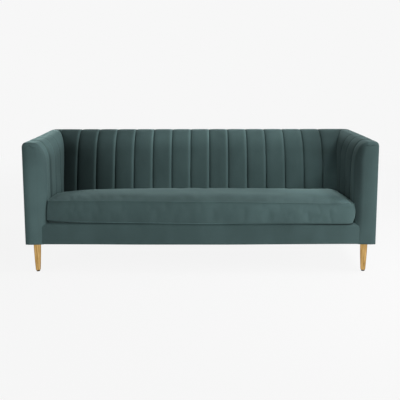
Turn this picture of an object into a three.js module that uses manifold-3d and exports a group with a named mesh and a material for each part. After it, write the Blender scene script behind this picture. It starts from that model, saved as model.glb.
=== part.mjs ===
// A channel-tufted tuxedo sofa with one loose bench cushion and four turned brass legs.
// Lengths are millimetres. +Z is up, +X runs along the seat, and the front faces -Y.
// The origin is on the floor under the middle of the sofa.
import * as THREE from "three";
import { mergeVertices } from "three/addons/utils/BufferGeometryUtils.js";
import Module from "manifold-3d";

const wasm = await Module();
wasm.setup();

// Overall sizes
const overallWidth = 2120;
const overallDepth = 800;
const overallHeight = 799;
const floorToBase = 181;

// Clearances
const fitGap = 0.3;
const overrun = 25;

// Channelled arms and back
const armThickness = 138;
const rollReach = 78;
const rollHeight = 140;
const channelDepth = 11;
const ridgeNotch = 6;
const topEdgeRadius = 20;
const frontInnerRadius = 40;
const frontTopRadius = 22;
const frontOuterRadius = 8;
const armFirstSeam = 180;
const armChannelPitch = 137;
const backChannelPitch = 129.5;
const backThicknessAtRoll = 181;
const ridgeWidth = 48;
const backRakeShare = 0.229;
const rollStraightShare = 0.3;
const backFoam = 48;
const topFoam = 40;
const frontPad = 12;
const panelThickness = 7;

// Seat
const seatDeckHeight = 313;
const deckFallShare = 0.0629;
const deckThickness = 14;
const wireRadius = 2;
const springWidth = 46;
const springBend = 34;
const springsPerSide = 5;
const springsPerUpright = 3;

// Timber frame
const postWidth = 64;
const postDepth = 60;
const railThickness = 30;
const sideRailThickness = 45;
const topRailThickness = 25;
const linerThickness = 4;
const springRailLift = 3;
const uprightDepth = 35;
const uprightWidth = 45;
const stretcherWidth = 44;
const stretcherDrop = 10;
const cornerBlockLeg = 90;
const cornerBlockDrop = 8;

// Underside
const clothThickness = 1.7;
const railCoverSetback = 3;
const railCoverRadius = 14;
const railCoverBreadth = 46;
const baseLip = 26;

// Legs
const legInset = 60;
const legSetback = 50;
const plateSize = 60;
const plateThickness = 3;
const plateScrewInset = 10;
const plateScrewHole = 2.5;
const plateHoleEase = 1;
const legTopRadius = 22;
const legMiddleRadius = 19.4;
const legMiddleHeight = 101;
const legFootRadius = 14.5;
const legEndRound = 5;
const studRadius = 4;
const studLength = 34;
const glideHeight = 7;
const glideRadius = 11;
const glideEdge = 2;
const spigotRadius = 4;
const spigotLength = 10;

// Loose cushion
const cushionEndGap = 3.5;
const cushionBackGap = 3.7;
const cushionSetback = 9;
const cushionBorder = 120;
const bottomBelly = 11;
const topCrown = 25;
const rearCornerDrop = 15;
const frontSag = 13;
const frontDrawIn = 7;
const endDrawIn = 3;
const earReach = 8;
const borderBulge = 5;
const coverThickness = 3;
const zipEndInset = 138.5;
const zipHeight = 10;
const zipTapeThickness = 2.2;
const zipRise = 62;
const sliderLength = 11;
const sliderHeight = 8;
const sliderProud = 2.6;
const sliderEndGap = 6;

// How full the curves of the soft forms are: the powers in their formulas
const channelFullness = 2.5;
const cornerSharpness = 8;
const earSharpness = 20;
const sagSharpness = 3;
const endDrawSharpness = 3;
const crownSharpnessAcross = 10;
const crownSharpnessAlong = 4;
const crownEdgeAcross = 0.7;
const crownEdgeAlong = 0.6;

// Where each channel is drawn, as shares of its width, and the shares from its crest on
const channelShares = [0.13, 0.35, 0.65, 0.87, 1];
const crestOnShares = channelShares.slice(2);

// Least run left for the arm's last channel, in channels, and the seam's place in the first
const lastChannelShare = 1.5;
const halfChannelShare = 0.5;

// Counts of flats along the curved outlines
const rollSteps = 7;
const edgeSteps = 3;
const frontSteps = 5;
const turnedSides = 18;
const drilledSteps = 4;
const coverStepsAcross = 26;
const coverStepsAlong = 8;
const coverStepsUp = 3;
const coreStepsAcross = 12;
const coreStepsAlong = 4;
const coreStepsUp = 1;

// Places that several pieces share
const halfWidth = overallWidth / 2;
const frontY = -overallDepth / 2;
const rearY = overallDepth / 2;
const armInnerX = halfWidth - armThickness;
const armFrontInnerX = armInnerX + frontInnerRadius;
const rollCentreX = armInnerX + rollReach;
const rollStartZ = overallHeight - rollHeight;
const backFaceY = rearY - backThicknessAtRoll;
const ridgeY = rearY - ridgeWidth;
const frameTopZ = overallHeight - topFoam;
const frameBaseZ = floorToBase + clothThickness + fitGap;
const lowZ = floorToBase - overrun;
const postOuterX = halfWidth - panelThickness - fitGap;
const postInnerX = postOuterX - postWidth;
const linerX = postInnerX - fitGap - linerThickness;
const padBackX = linerX - fitGap;
const frameFrontY = frontY + frontPad + fitGap;
const frameRearY = rearY - panelThickness - fitGap;
const railTopBottomZ = frameTopZ - topRailThickness;
const sideRailInnerX = postOuterX - sideRailThickness;
const springPitch = (2 * sideRailInnerX) / (2 * springsPerSide + 1);
const uprightPitch = springsPerUpright * springPitch;
const backFootY = backFaceY - backRakeShare * (rollStartZ - deckZ(backFaceY));
const springRailY = backFootY + backFoam;
const deckTilt = -Math.atan(deckFallShare);
const underDeck = deckThickness + 2 * (wireRadius + fitGap);
const frontRailTopZ = deckZ(frameFrontY + railThickness) - underDeck;
const springRailTopZ = deckZ(springRailY + railThickness) - underDeck;
const springRailBottomZ = frameBaseZ + springRailLift;
const legX = halfWidth - legInset;
const legY = overallDepth / 2 - legSetback;
const plateBottomZ = frameBaseZ - fitGap - plateThickness;
const cushionHalfLength = armInnerX - cushionEndGap;
const cushionDepth = backFootY - cushionBackGap - cushionSetback - frontY;
const zipHalfLength = cushionHalfLength - zipEndInset;

// Height of the sloping seat deck at a distance along Y.
function deckZ(y) {
  return seatDeckHeight - deckFallShare * (y - frontY);
}

// The plane that the back foam rests on, a foam's thickness behind the raked face.
function backFoamY(z) {
  return backFaceY + backRakeShare * (z - rollStartZ) + backFoam;
}

// Materials, one short function for each finish
const finish = (color, roughness, metalness = 0) => () =>
  new THREE.MeshStandardMaterial({ color, roughness, metalness });
const velvet = finish(0x3f5f5e, 0.85);
const velvetShade = finish(0x35504f, 0.9);
const hardwood = finish(0xb48a5a, 0.7);
const hardboard = finish(0x8a6b4a, 0.8);
const springSteel = finish(0x6e7276, 0.4, 0.9);
const deckCloth = finish(0x2b2f30, 0.95);
const foam = finish(0xe8dfc0, 0.95);
const brass = finish(0xc5a36a, 0.3, 1);
const zincPlate = finish(0x9a9da0, 0.45, 0.9);
const glidePlastic = finish(0x1c1b1a, 0.6);
const zipTape = finish(0x253636, 0.8);

const sofa = new THREE.Group();

function add(parent, name, geometry, material) {
  const mesh = new THREE.Mesh(geometry, material());
  mesh.name = name;
  parent.add(mesh);
  return mesh;
}

// Geometry helpers
function box(x0, x1, y0, y1, z0, z1) {
  const geometry = new THREE.BoxGeometry(x1 - x0, y1 - y0, z1 - z0);
  return geometry.translate((x0 + x1) / 2, (y0 + y1) / 2, (z0 + z1) / 2);
}

// A prism of a side view, given as [y, z] corners, between two places along X.
function prismAlongX(corners, x0, x1) {
  const shape = new THREE.Shape(corners.map(([y, z]) => new THREE.Vector2(y, z)));
  const geometry = new THREE.ExtrudeGeometry(shape, { depth: x1 - x0, bevelEnabled: false });
  const turn = new THREE.Matrix4().makeBasis(
    new THREE.Vector3(0, 1, 0),
    new THREE.Vector3(0, 0, 1),
    new THREE.Vector3(1, 0, 0),
  );
  return geometry.applyMatrix4(turn).translate(x0, 0, 0);
}

// A prism of a plan outline between two heights.
function prismAlongZ(shape, z0, z1) {
  const geometry = new THREE.ExtrudeGeometry(shape, { depth: z1 - z0, bevelEnabled: false });
  return geometry.translate(0, 0, z0);
}

// A turned piece about Z, from [radius, z] corners listed upwards.
function turned(corners) {
  const points = corners.map(([r, z]) => new THREE.Vector2(r, z));
  return new THREE.LatheGeometry(points, turnedSides).rotateX(Math.PI / 2);
}

function toSolid(geometry) {
  const bare = geometry.clone();
  bare.deleteAttribute("normal");
  bare.deleteAttribute("uv");
  const merged = mergeVertices(bare);
  return new wasm.Manifold(
    new wasm.Mesh({
      numProp: 3,
      vertProperties: merged.attributes.position.array,
      triVerts: new Uint32Array(merged.index.array),
    }),
  );
}

function toGeometry(solid) {
  const mesh = solid.getMesh();
  return new THREE.BufferGeometry()
    .setAttribute("position", new THREE.BufferAttribute(new Float32Array(mesh.vertProperties), 3))
    .setIndex(new THREE.BufferAttribute(new Uint32Array(mesh.triVerts), 1));
}

function cut(geometry, ...cutters) {
  return toGeometry(cutters.reduce((solid, cutter) => solid.subtract(toSolid(cutter)), toSolid(geometry)));
}

// A closed skin over rings of equal length, each end closed by a fan from the ring's last point.
function loft(rings) {
  const count = rings[0].length;
  const index = [];
  const at = (ring, point) => ring * count + (point % count);
  for (let ring = 0; ring + 1 < rings.length; ring++)
    for (let point = 0; point < count; point++)
      index.push(
        ...[at(ring, point), at(ring, point + 1), at(ring + 1, point + 1)],
        ...[at(ring, point), at(ring + 1, point + 1), at(ring + 1, point)],
      );
  const end = rings.length - 1;
  for (let point = 0; point + 2 < count; point++) {
    index.push(at(0, count - 1), at(0, point + 1), at(0, point));
    index.push(at(end, count - 1), at(end, point), at(end, point + 1));
  }
  return new THREE.BufferGeometry().setFromPoints(rings.flat()).setIndex(index);
}

// Left and right copies of a piece that is drawn at +X.
function mirrored(geometry) {
  const copy = (geometry.index ? geometry.toNonIndexed() : geometry.clone()).scale(-1, 1, 1);
  const position = copy.attributes.position;
  for (let i = 0; i < position.count; i += 3) {
    const [x, y, z] = [position.getX(i), position.getY(i), position.getZ(i)];
    position.setXYZ(i, position.getX(i + 1), position.getY(i + 1), position.getZ(i + 1));
    position.setXYZ(i + 1, x, y, z);
  }
  return copy;
}

function addPair(parent, name, geometry, material) {
  add(parent, name + "_right", geometry, material);
  add(parent, name + "_left", mirrored(geometry), material);
}

// Channelled arms and back.
// A channel bulges between two seams: 0 on its crest, 1 in the seam.
function seamFall(across) {
  const side = Math.abs(2 * across - 1);
  return 1 - (1 - side ** channelFullness) ** (1 / channelFullness);
}

// How far a rounded edge of a given radius has drawn in at a distance from its face.
function roundIn(radius, distance) {
  const left = Math.max(radius - distance, 0);
  return radius - Math.sqrt(radius ** 2 - left ** 2);
}

function rollAngles() {
  return Array.from({ length: rollSteps + 1 }, (_, i) => ((i / rollSteps) * Math.PI) / 2);
}

function edgeAngles() {
  return Array.from({ length: edgeSteps + 1 }, (_, i) => ((1 - i / edgeSteps) * Math.PI) / 2);
}

// The arm seen from the front, at +X: up the inside face, over the roll and down the outside.
function armOutline(fall, inner = 0, top = 0, outer = 0) {
  const faceX = armInnerX + channelDepth * fall + inner;
  const crownZ = overallHeight - ridgeNotch * fall - top;
  const edgeX = halfWidth - outer - topEdgeRadius;
  const edgeZ = overallHeight - top - topEdgeRadius;
  return [
    [faceX, floorToBase],
    ...rollAngles().map((a) => [
      rollCentreX - (rollCentreX - faceX) * Math.cos(a),
      rollStartZ + (crownZ - rollStartZ) * Math.sin(a),
    ]),
    ...edgeAngles().map((a) => [
      edgeX + topEdgeRadius * Math.cos(a),
      edgeZ + topEdgeRadius * Math.sin(a),
    ]),
    [edgeX + topEdgeRadius, floorToBase],
  ];
}

// The back seen from the end: up the raked face, over the roll and down the rear.
function backOutline(fall) {
  const faceY = backFaceY + channelDepth * fall;
  const crownZ = overallHeight - ridgeNotch * fall;
  const edgeZ = overallHeight - topEdgeRadius;
  const advance = (a) => (1 - rollStraightShare) * (1 - Math.cos(a)) + (rollStraightShare * 2 * a) / Math.PI;
  return [
    [faceY - backRakeShare * (rollStartZ - floorToBase), floorToBase],
    ...rollAngles().map((a) => [
      faceY + (ridgeY - faceY) * advance(a),
      rollStartZ + (crownZ - rollStartZ) * Math.sin(a),
    ]),
    ...edgeAngles().map((a) => [
      rearY - topEdgeRadius + topEdgeRadius * Math.cos(a),
      edgeZ + topEdgeRadius * Math.sin(a),
    ]),
    [rearY, floorToBase],
  ];
}

// The mitre where an arm and the back meet, point by point along both outlines.
const mitreX = armOutline(1).map(([x]) => x);
const mitreY = backOutline(1).map(([y]) => y);

// One arm, solid, from the rounded front to the mitre, before the frame's room is cut from it.
function armBlock() {
  const rings = [];
  const ring = (y, fall, depth) =>
    armOutline(
      fall,
      roundIn(frontInnerRadius, depth),
      roundIn(frontTopRadius, depth),
      roundIn(frontOuterRadius, depth),
    ).map(([x, z]) => new THREE.Vector3(x, y, z));
  for (let i = 0; i <= frontSteps; i++) {
    const depth = frontInnerRadius * (1 - Math.cos(((i / frontSteps) * Math.PI) / 2));
    rings.push(ring(frontY + depth, 0, depth));
  }
  const frontRun = armFirstSeam - frontInnerRadius;
  for (const share of crestOnShares) {
    const depth = frontInnerRadius + frontRun * (2 * share - 1);
    rings.push(ring(frontY + depth, seamFall(share), depth));
  }
  let seam = armFirstSeam;
  while (frontY + seam + lastChannelShare * armChannelPitch < backFaceY) {
    for (const share of channelShares) {
      const depth = seam + armChannelPitch * share;
      rings.push(ring(frontY + depth, seamFall(share), depth));
    }
    seam += armChannelPitch;
  }
  for (const share of channelShares)
    rings.push(
      armOutline(seamFall(share)).map(([x, z], i) => {
        const end = mitreY[i] - fitGap;
        return new THREE.Vector3(x, frontY + seam + (end - frontY - seam) * share, z);
      }),
    );
  return loft(rings);
}

// The back, solid, from mitre to mitre.
function backBlock() {
  const seams = Math.round((armInnerX + channelDepth) / backChannelPitch);
  const lastSeam = (seams - halfChannelShare) * backChannelPitch;
  const ring = (x, fall) => backOutline(fall).map(([y, z]) => new THREE.Vector3(x, y, z));
  const half = [];
  for (let channel = 0; channel < seams; channel++)
    for (const share of channel ? channelShares : crestOnShares)
      half.push(ring((channel - halfChannelShare + share) * backChannelPitch, seamFall(share)));
  for (const share of channelShares)
    half.push(
      backOutline(seamFall(share)).map(
        ([y, z], i) => new THREE.Vector3(lastSeam + (mitreX[i] - lastSeam) * share, y, z),
      ),
    );
  const other = half.map((points) => points.map((p) => new THREE.Vector3(-p.x, p.y, p.z)));
  return loft([...half.reverse(), ...other]);
}

// Room for the frame inside an arm at +X, open to the outside and the rear.
const armRoom = box(
  padBackX,
  halfWidth + overrun,
  frontY + frontPad,
  rearY + overrun,
  lowZ,
  frameTopZ + fitGap,
);

// Front edge of the back's top rail, over the middle of the uprights.
const topRailY = backFoamY(railTopBottomZ) + fitGap + uprightDepth / 2;

// Room for the frame inside the back.
const backRoom = prismAlongX(
  [
    [backFoamY(lowZ), lowZ],
    [backFoamY(railTopBottomZ), railTopBottomZ],
    [topRailY - fitGap, frameTopZ + fitGap],
    [rearY + overrun, frameTopZ + fitGap],
    [rearY + overrun, lowZ],
  ],
  -halfWidth - overrun,
  halfWidth + overrun,
);

// Everything under the deck, out to a distance each side, from a place along Y to the rear.
function underSeat(reachX, fromY) {
  const toY = rearY + overrun;
  const corners = [
    [fromY, lowZ],
    [toY, lowZ],
    [toY, deckZ(toY) + fitGap],
    [fromY, deckZ(fromY) + fitGap],
  ];
  return prismAlongX(corners, -reachX, reachX);
}

function addChannelledPads() {
  const underFront = underSeat(armFrontInnerX, frontY - overrun);
  const underRest = underSeat(halfWidth + overrun, frontY + frontPad);
  const arm = cut(armBlock(), armRoom, backRoom, underFront, underRest);
  const back = cut(backBlock(), backRoom, armRoom, mirrored(armRoom), underRest);
  addPair(sofa, "inside_arm_pad", arm, velvet);
  add(sofa, "inside_back_pad", back, velvet);
}

// Flat upholstered panels that close the outside of the arms and the back.
function addOutsidePanels() {
  addPair(
    sofa,
    "outside_arm_panel",
    box(postOuterX + fitGap, halfWidth, frontY + frontPad + fitGap, rearY, floorToBase, frameTopZ),
    velvetShade,
  );
  add(
    sofa,
    "outside_back_panel",
    box(-postOuterX, postOuterX, frameRearY + fitGap, rearY, floorToBase, frameTopZ),
    velvetShade,
  );
}

// The padded cover that wraps the front rail from under the base to the deck.
function addFrontRailCover() {
  const faceY = frontY + railCoverSetback;
  const innerY = frameFrontY - fitGap;
  const arcY = faceY + railCoverRadius;
  const arcZ = deckZ(arcY) - railCoverRadius;
  const backEdgeY = faceY + railCoverBreadth;
  const lipY = faceY + baseLip;
  const corners = [
    [lipY, floorToBase],
    [lipY, floorToBase + clothThickness],
    [innerY, floorToBase + clothThickness],
    [innerY, deckZ(innerY) - deckThickness],
    [backEdgeY, deckZ(backEdgeY) - deckThickness],
    [backEdgeY, deckZ(backEdgeY)],
    ...edgeAngles().map((a) => [arcY - railCoverRadius * Math.cos(a), arcZ + railCoverRadius * Math.sin(a)]),
    [faceY, floorToBase],
  ];
  const reach = armFrontInnerX - fitGap;
  add(sofa, "front_rail_cover", prismAlongX(corners, -reach, reach), velvet);
}

// Timber frame
function addFrame() {
  const railX = postInnerX - fitGap;
  const frontRailBackY = frameFrontY + railThickness;
  add(
    sofa,
    "front_rail",
    box(-railX, railX, frameFrontY, frontRailBackY, frameBaseZ, frontRailTopZ),
    hardwood,
  );
  add(
    sofa,
    "back_rail",
    box(-railX, railX, frameRearY - railThickness, frameRearY, frameBaseZ, frontRailTopZ),
    hardwood,
  );
  addPair(
    sofa,
    "side_rail",
    box(
      sideRailInnerX,
      postOuterX,
      frameFrontY + postDepth + fitGap,
      frameRearY - postDepth - fitGap,
      frameBaseZ,
      frontRailTopZ,
    ),
    hardwood,
  );
  const springRailX = sideRailInnerX - fitGap;
  add(
    sofa,
    "spring_rail",
    box(
      -springRailX,
      springRailX,
      springRailY,
      springRailY + railThickness,
      springRailBottomZ,
      springRailTopZ,
    ),
    hardwood,
  );
  add(
    sofa,
    "seat_stretcher",
    box(
      -stretcherWidth / 2,
      stretcherWidth / 2,
      frontRailBackY + fitGap,
      springRailY - fitGap,
      springRailBottomZ,
      springRailTopZ - stretcherDrop,
    ),
    hardwood,
  );
  addPosts();
  addPair(
    sofa,
    "arm_top_rail",
    box(postInnerX, postOuterX, frameFrontY, frameRearY, railTopBottomZ, frameTopZ),
    hardwood,
  );
  add(
    sofa,
    "back_top_rail",
    box(-railX, railX, topRailY, frameRearY, railTopBottomZ, frameTopZ),
    hardwood,
  );
  addUprights();
  addPair(
    sofa,
    "arm_liner",
    box(
      linerX,
      linerX + linerThickness,
      frameFrontY,
      backFoamY(railTopBottomZ),
      frontRailTopZ,
      railTopBottomZ,
    ),
    hardboard,
  );
  addCornerBlocks();
}

// Posts carry the arm rails, and each takes a leg's stud in its foot.
function addPosts() {
  const topZ = railTopBottomZ - fitGap;
  const studHole = new THREE.CylinderGeometry(
    studRadius + fitGap,
    studRadius + fitGap,
    2 * (studLength + overrun),
    turnedSides,
  ).rotateX(Math.PI / 2);
  const front = box(postInnerX, postOuterX, frameFrontY, frameFrontY + postDepth, frameBaseZ, topZ);
  const rear = box(postInnerX, postOuterX, frameRearY - postDepth, frameRearY, frameBaseZ, topZ);
  const holeZ = frameBaseZ - overrun;
  addPair(sofa, "front_post", cut(front, studHole.clone().translate(legX, -legY, holeZ)), hardwood);
  addPair(sofa, "rear_post", cut(rear, studHole.clone().translate(legX, legY, holeZ)), hardwood);
}

// Raked uprights between the spring rail and the top rail carry the back foam.
function addUprights() {
  const bottomZ = springRailTopZ + fitGap;
  const topZ = railTopBottomZ - fitGap;
  const corners = [
    [backFoamY(bottomZ) + fitGap, bottomZ],
    [backFoamY(bottomZ) + fitGap + uprightDepth, bottomZ],
    [backFoamY(topZ) + fitGap + uprightDepth, topZ],
    [backFoamY(topZ) + fitGap, topZ],
  ];
  const upright = prismAlongX(corners, -uprightWidth / 2, uprightWidth / 2);
  add(sofa, "back_upright_middle", upright, hardwood);
  add(sofa, "back_upright_right", upright.clone().translate(uprightPitch, 0, 0), hardwood);
  add(sofa, "back_upright_left", upright.clone().translate(-uprightPitch, 0, 0), hardwood);
}

// Triangular blocks glued in the four inner corners of the base.
function addCornerBlocks() {
  const cornerX = postInnerX - fitGap;
  const topZ = frontRailTopZ - cornerBlockDrop;
  const block = (y, toMiddle) =>
    prismAlongZ(
      new THREE.Shape(
        [
          [cornerX, y],
          [cornerX, y + toMiddle * cornerBlockLeg],
          [cornerX - cornerBlockLeg, y],
        ].map(([px, py]) => new THREE.Vector2(px, py)),
      ),
      frameBaseZ,
      topZ,
    );
  addPair(sofa, "front_corner_block", block(frameFrontY + railThickness + fitGap, 1), hardwood);
  addPair(sofa, "rear_corner_block", block(frameRearY - railThickness - fitGap, -1), hardwood);
}

// Seat suspension, laid in the slope of the deck.
function addSuspension() {
  const slope = new THREE.Group();
  slope.position.set(0, frontY, seatDeckHeight);
  slope.rotation.x = deckTilt;
  sofa.add(slope);
  const along = 1 / Math.cos(deckTilt);
  const lean = deckThickness * deckFallShare;
  const startY = (railCoverSetback + railCoverBreadth + lean + fitGap) * along;
  const endY = (backFoamY(springRailTopZ) - frontY - fitGap) * along;
  const reach = armFrontInnerX - fitGap;
  add(slope, "seat_deck", box(-reach, reach, startY, endY, -deckThickness, 0), deckCloth);
  const wireZ = -deckThickness - wireRadius - fitGap;
  const firstY = (frontPad + railThickness / 2) * along;
  const lastY = (springRailY - frontY + railThickness / 2) * along;
  const wire = zigzagWire(firstY, lastY, wireZ);
  for (let i = 0; i < 2 * springsPerSide; i++) {
    const x = ((2 * i + 1) / 2 - springsPerSide) * springPitch;
    add(slope, "seat_spring_" + (i + 1), wire.clone().translate(x, 0, 0), springSteel);
  }
}

// A flat zigzag of round wire from one rail to the other, with a straight bar on each rail.
function zigzagWire(firstY, lastY, z) {
  const bends = 2 * Math.round((lastY - firstY) / (2 * springBend));
  const step = (lastY - firstY) / bends;
  const swing = springWidth / 2 - wireRadius;
  const points = [];
  for (let i = 0; i <= bends; i++) {
    const side = i % 2 ? -swing : swing;
    points.push(new THREE.Vector3(-side, firstY + i * step, z));
    points.push(new THREE.Vector3(side, firstY + i * step, z));
  }
  return ribbonOfWire(points);
}

// Square-sectioned wire through the given points, its corners mitred.
function ribbonOfWire(points) {
  const rings = points.map((point, i) => {
    const before = points[Math.max(i - 1, 0)];
    const after = points[Math.min(i + 1, points.length - 1)];
    const arriving = new THREE.Vector3().subVectors(i ? point : after, i ? before : point).normalize();
    const last = i === points.length - 1;
    const leaving = new THREE.Vector3().subVectors(last ? point : after, last ? before : point).normalize();
    const side = new THREE.Vector3(-arriving.y - leaving.y, arriving.x + leaving.x, 0).normalize();
    const spread = wireRadius / side.dot(new THREE.Vector3(-leaving.y, leaving.x, 0));
    return [
      [-spread, -wireRadius],
      [spread, -wireRadius],
      [spread, wireRadius],
      [-spread, wireRadius],
    ].map(([s, up]) => new THREE.Vector3(point.x + side.x * s, point.y + side.y * s, point.z + up));
  });
  return loft(rings);
}

// Thin cloth stapled under the base, cut away round each leg plate.
function addDustCover() {
  const frontEdge = frontY + railCoverSetback + baseLip + fitGap;
  const shape = new THREE.Shape(
    [
      [-postOuterX, frontEdge],
      [postOuterX, frontEdge],
      [postOuterX, frameRearY],
      [-postOuterX, frameRearY],
    ].map(([x, y]) => new THREE.Vector2(x, y)),
  );
  const sheet = prismAlongZ(shape, floorToBase, floorToBase + clothThickness);
  const reach = plateSize / 2 + fitGap;
  const holes = [];
  for (const x of [-legX, legX])
    for (const y of [-legY, legY])
      holes.push(box(x - reach, x + reach, y - reach, y + reach, lowZ, frameBaseZ + overrun));
  add(sofa, "dust_cover", cut(sheet, ...holes), deckCloth);
}

// Legs: a plate under each post, a turned brass leg with its stud, and a glide in its foot.
function addLegs() {
  const plateTopZ = plateBottomZ + plateThickness;
  const half = plateSize / 2;
  const plateShape = new THREE.Shape(
    [
      [-half, -half],
      [half, -half],
      [half, half],
      [-half, half],
    ].map(([x, y]) => new THREE.Vector2(x, y)),
  );
  const hole = (x, y, radius) => {
    const path = new THREE.Path();
    path.absarc(x, y, radius, 0, 2 * Math.PI);
    return path;
  };
  const screwAt = half - plateScrewInset;
  plateShape.holes.push(hole(0, 0, studRadius + plateHoleEase));
  for (const x of [-screwAt, screwAt])
    for (const y of [-screwAt, screwAt]) plateShape.holes.push(hole(x, y, plateScrewHole));
  const plate = new THREE.ExtrudeGeometry(plateShape, {
    depth: plateThickness,
    bevelEnabled: false,
    curveSegments: drilledSteps,
  }).translate(0, 0, plateBottomZ);

  const legTopZ = plateBottomZ - fitGap;
  const boreTopZ = glideHeight + spigotLength + fitGap;
  const leg = turned([
    [0, boreTopZ],
    [spigotRadius + fitGap, boreTopZ],
    [spigotRadius + fitGap, glideHeight],
    ...edgeAngles().map((a) => [
      legFootRadius - legEndRound + legEndRound * Math.cos(a),
      glideHeight + legEndRound - legEndRound * Math.sin(a),
    ]),
    [legMiddleRadius, legMiddleHeight],
    [legTopRadius, legTopZ],
    [studRadius, legTopZ],
    [studRadius, plateTopZ + studLength],
    [0, plateTopZ + studLength],
  ]);
  const glide = turned([
    [0, 0],
    [glideRadius - glideEdge, 0],
    [glideRadius, glideEdge],
    [glideRadius, glideHeight - fitGap],
    [spigotRadius, glideHeight - fitGap],
    [spigotRadius, boreTopZ - fitGap],
    [0, boreTopZ - fitGap],
  ]);
  for (const [end, y] of [
    ["front", -legY],
    ["rear", legY],
  ])
    for (const [side, x] of [
      ["right", legX],
      ["left", -legX],
    ]) {
      const corner = end + "_" + side;
      add(sofa, "leg_plate_" + corner, plate.clone().translate(x, y, 0), zincPlate);
      add(sofa, "leg_" + corner, leg.clone().translate(x, y, 0), brass);
      add(sofa, "glide_" + corner, glide.clone().translate(x, y, 0), glidePlastic);
    }
}

// Loose bench cushion, drawn flat about the middle of its underside and laid in the deck's slope.
// across and along run from -1 to 1 over its length and depth; inset shrinks it evenly.
function cushionPlan(across, along, inset) {
  const halfDepth = cushionDepth / 2 - inset;
  const halfLength = cushionHalfLength - inset;
  const nearFront = Math.max(-along, 0);
  const nearEnd = Math.abs(across) ** cornerSharpness;
  const ear = earReach * nearFront ** earSharpness * nearEnd;
  const drawnEnds = endDrawIn * (1 - along ** 2) * Math.abs(across) ** endDrawSharpness;
  const x = across * (halfLength + ear) - Math.sign(across) * drawnEnds;
  const y = along * halfDepth + frontDrawIn * nearFront ** cornerSharpness * (1 - nearEnd);
  return [x, y];
}

function cushionTop(across, along, inset) {
  const fadeAcross = (1 - Math.abs(across) ** crownSharpnessAcross) ** crownEdgeAcross;
  const fadeAlong = (1 - Math.abs(along) ** crownSharpnessAlong) ** crownEdgeAlong;
  const sag = frontSag * Math.max(-along, 0) ** sagSharpness * (1 - Math.abs(across) ** cornerSharpness);
  const drop = rearCornerDrop * across ** 2 * Math.max(along, 0) ** 2;
  return bottomBelly + cushionBorder - inset + topCrown * fadeAcross * fadeAlong - sag - drop;
}

function cushionBottom(across, along, inset) {
  const fade = (1 - Math.abs(across) ** cornerSharpness) * (1 - Math.abs(along) ** cornerSharpness);
  return inset + bottomBelly * (1 - fade);
}

function cushionForm(stepsAcross, stepsAlong, stepsUp, inset) {
  const spread = (i, steps) => Math.sin((Math.PI / 2) * ((2 * i) / steps - 1));
  const points = [];
  const index = [];
  const vertex = (x, y, z) => points.push(new THREE.Vector3(x, y, z)) - 1;
  const sheet = (heightAt) => {
    const grid = [];
    for (let j = 0; j <= stepsAlong; j++)
      for (let i = 0; i <= stepsAcross; i++) {
        const across = spread(i, stepsAcross);
        const along = spread(j, stepsAlong);
        const [x, y] = cushionPlan(across, along, inset);
        grid.push(vertex(x, y, heightAt(across, along, inset)));
      }
    return grid;
  };
  const width = stepsAcross + 1;
  const quad = (a, b, c, d) => index.push(a, b, c, a, c, d);
  const top = sheet(cushionTop);
  const bottom = sheet(cushionBottom);
  for (let j = 0; j < stepsAlong; j++)
    for (let i = 0; i < stepsAcross; i++) {
      const a = j * width + i;
      quad(top[a], top[a + 1], top[a + 1 + width], top[a + width]);
      quad(bottom[a], bottom[a + width], bottom[a + 1 + width], bottom[a + 1]);
    }
  const rim = [];
  for (let i = 0; i < stepsAcross; i++) rim.push(i);
  for (let j = 0; j < stepsAlong; j++) rim.push(j * width + stepsAcross);
  for (let i = stepsAcross; i > 0; i--) rim.push(stepsAlong * width + i);
  for (let j = stepsAlong; j > 0; j--) rim.push(j * width);
  let lower = rim.map((k) => bottom[k]);
  for (let row = 1; row <= stepsUp; row++) {
    const share = row / stepsUp;
    const upper = rim.map((k) => {
      if (row === stepsUp) return top[k];
      const from = points[bottom[k]];
      const to = points[top[k]];
      const onRear = k >= stepsAlong * width;
      const bulge = onRear ? 0 : borderBulge * Math.sin(Math.PI * share);
      const onEnd = k % width === 0 || k % width === stepsAcross;
      const onFront = k < width;
      return vertex(
        from.x + (to.x - from.x) * share + (onEnd ? (Math.sign(from.x) * bulge) / 2 : 0),
        from.y + (to.y - from.y) * share - (onFront ? bulge : 0),
        from.z + (to.z - from.z) * share,
      );
    });
    for (let k = 0; k < rim.length; k++) {
      const next = (k + 1) % rim.length;
      quad(lower[k], lower[next], upper[next], upper[k]);
    }
    lower = upper;
  }
  return new THREE.BufferGeometry().setFromPoints(points).setIndex(index);
}

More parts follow.
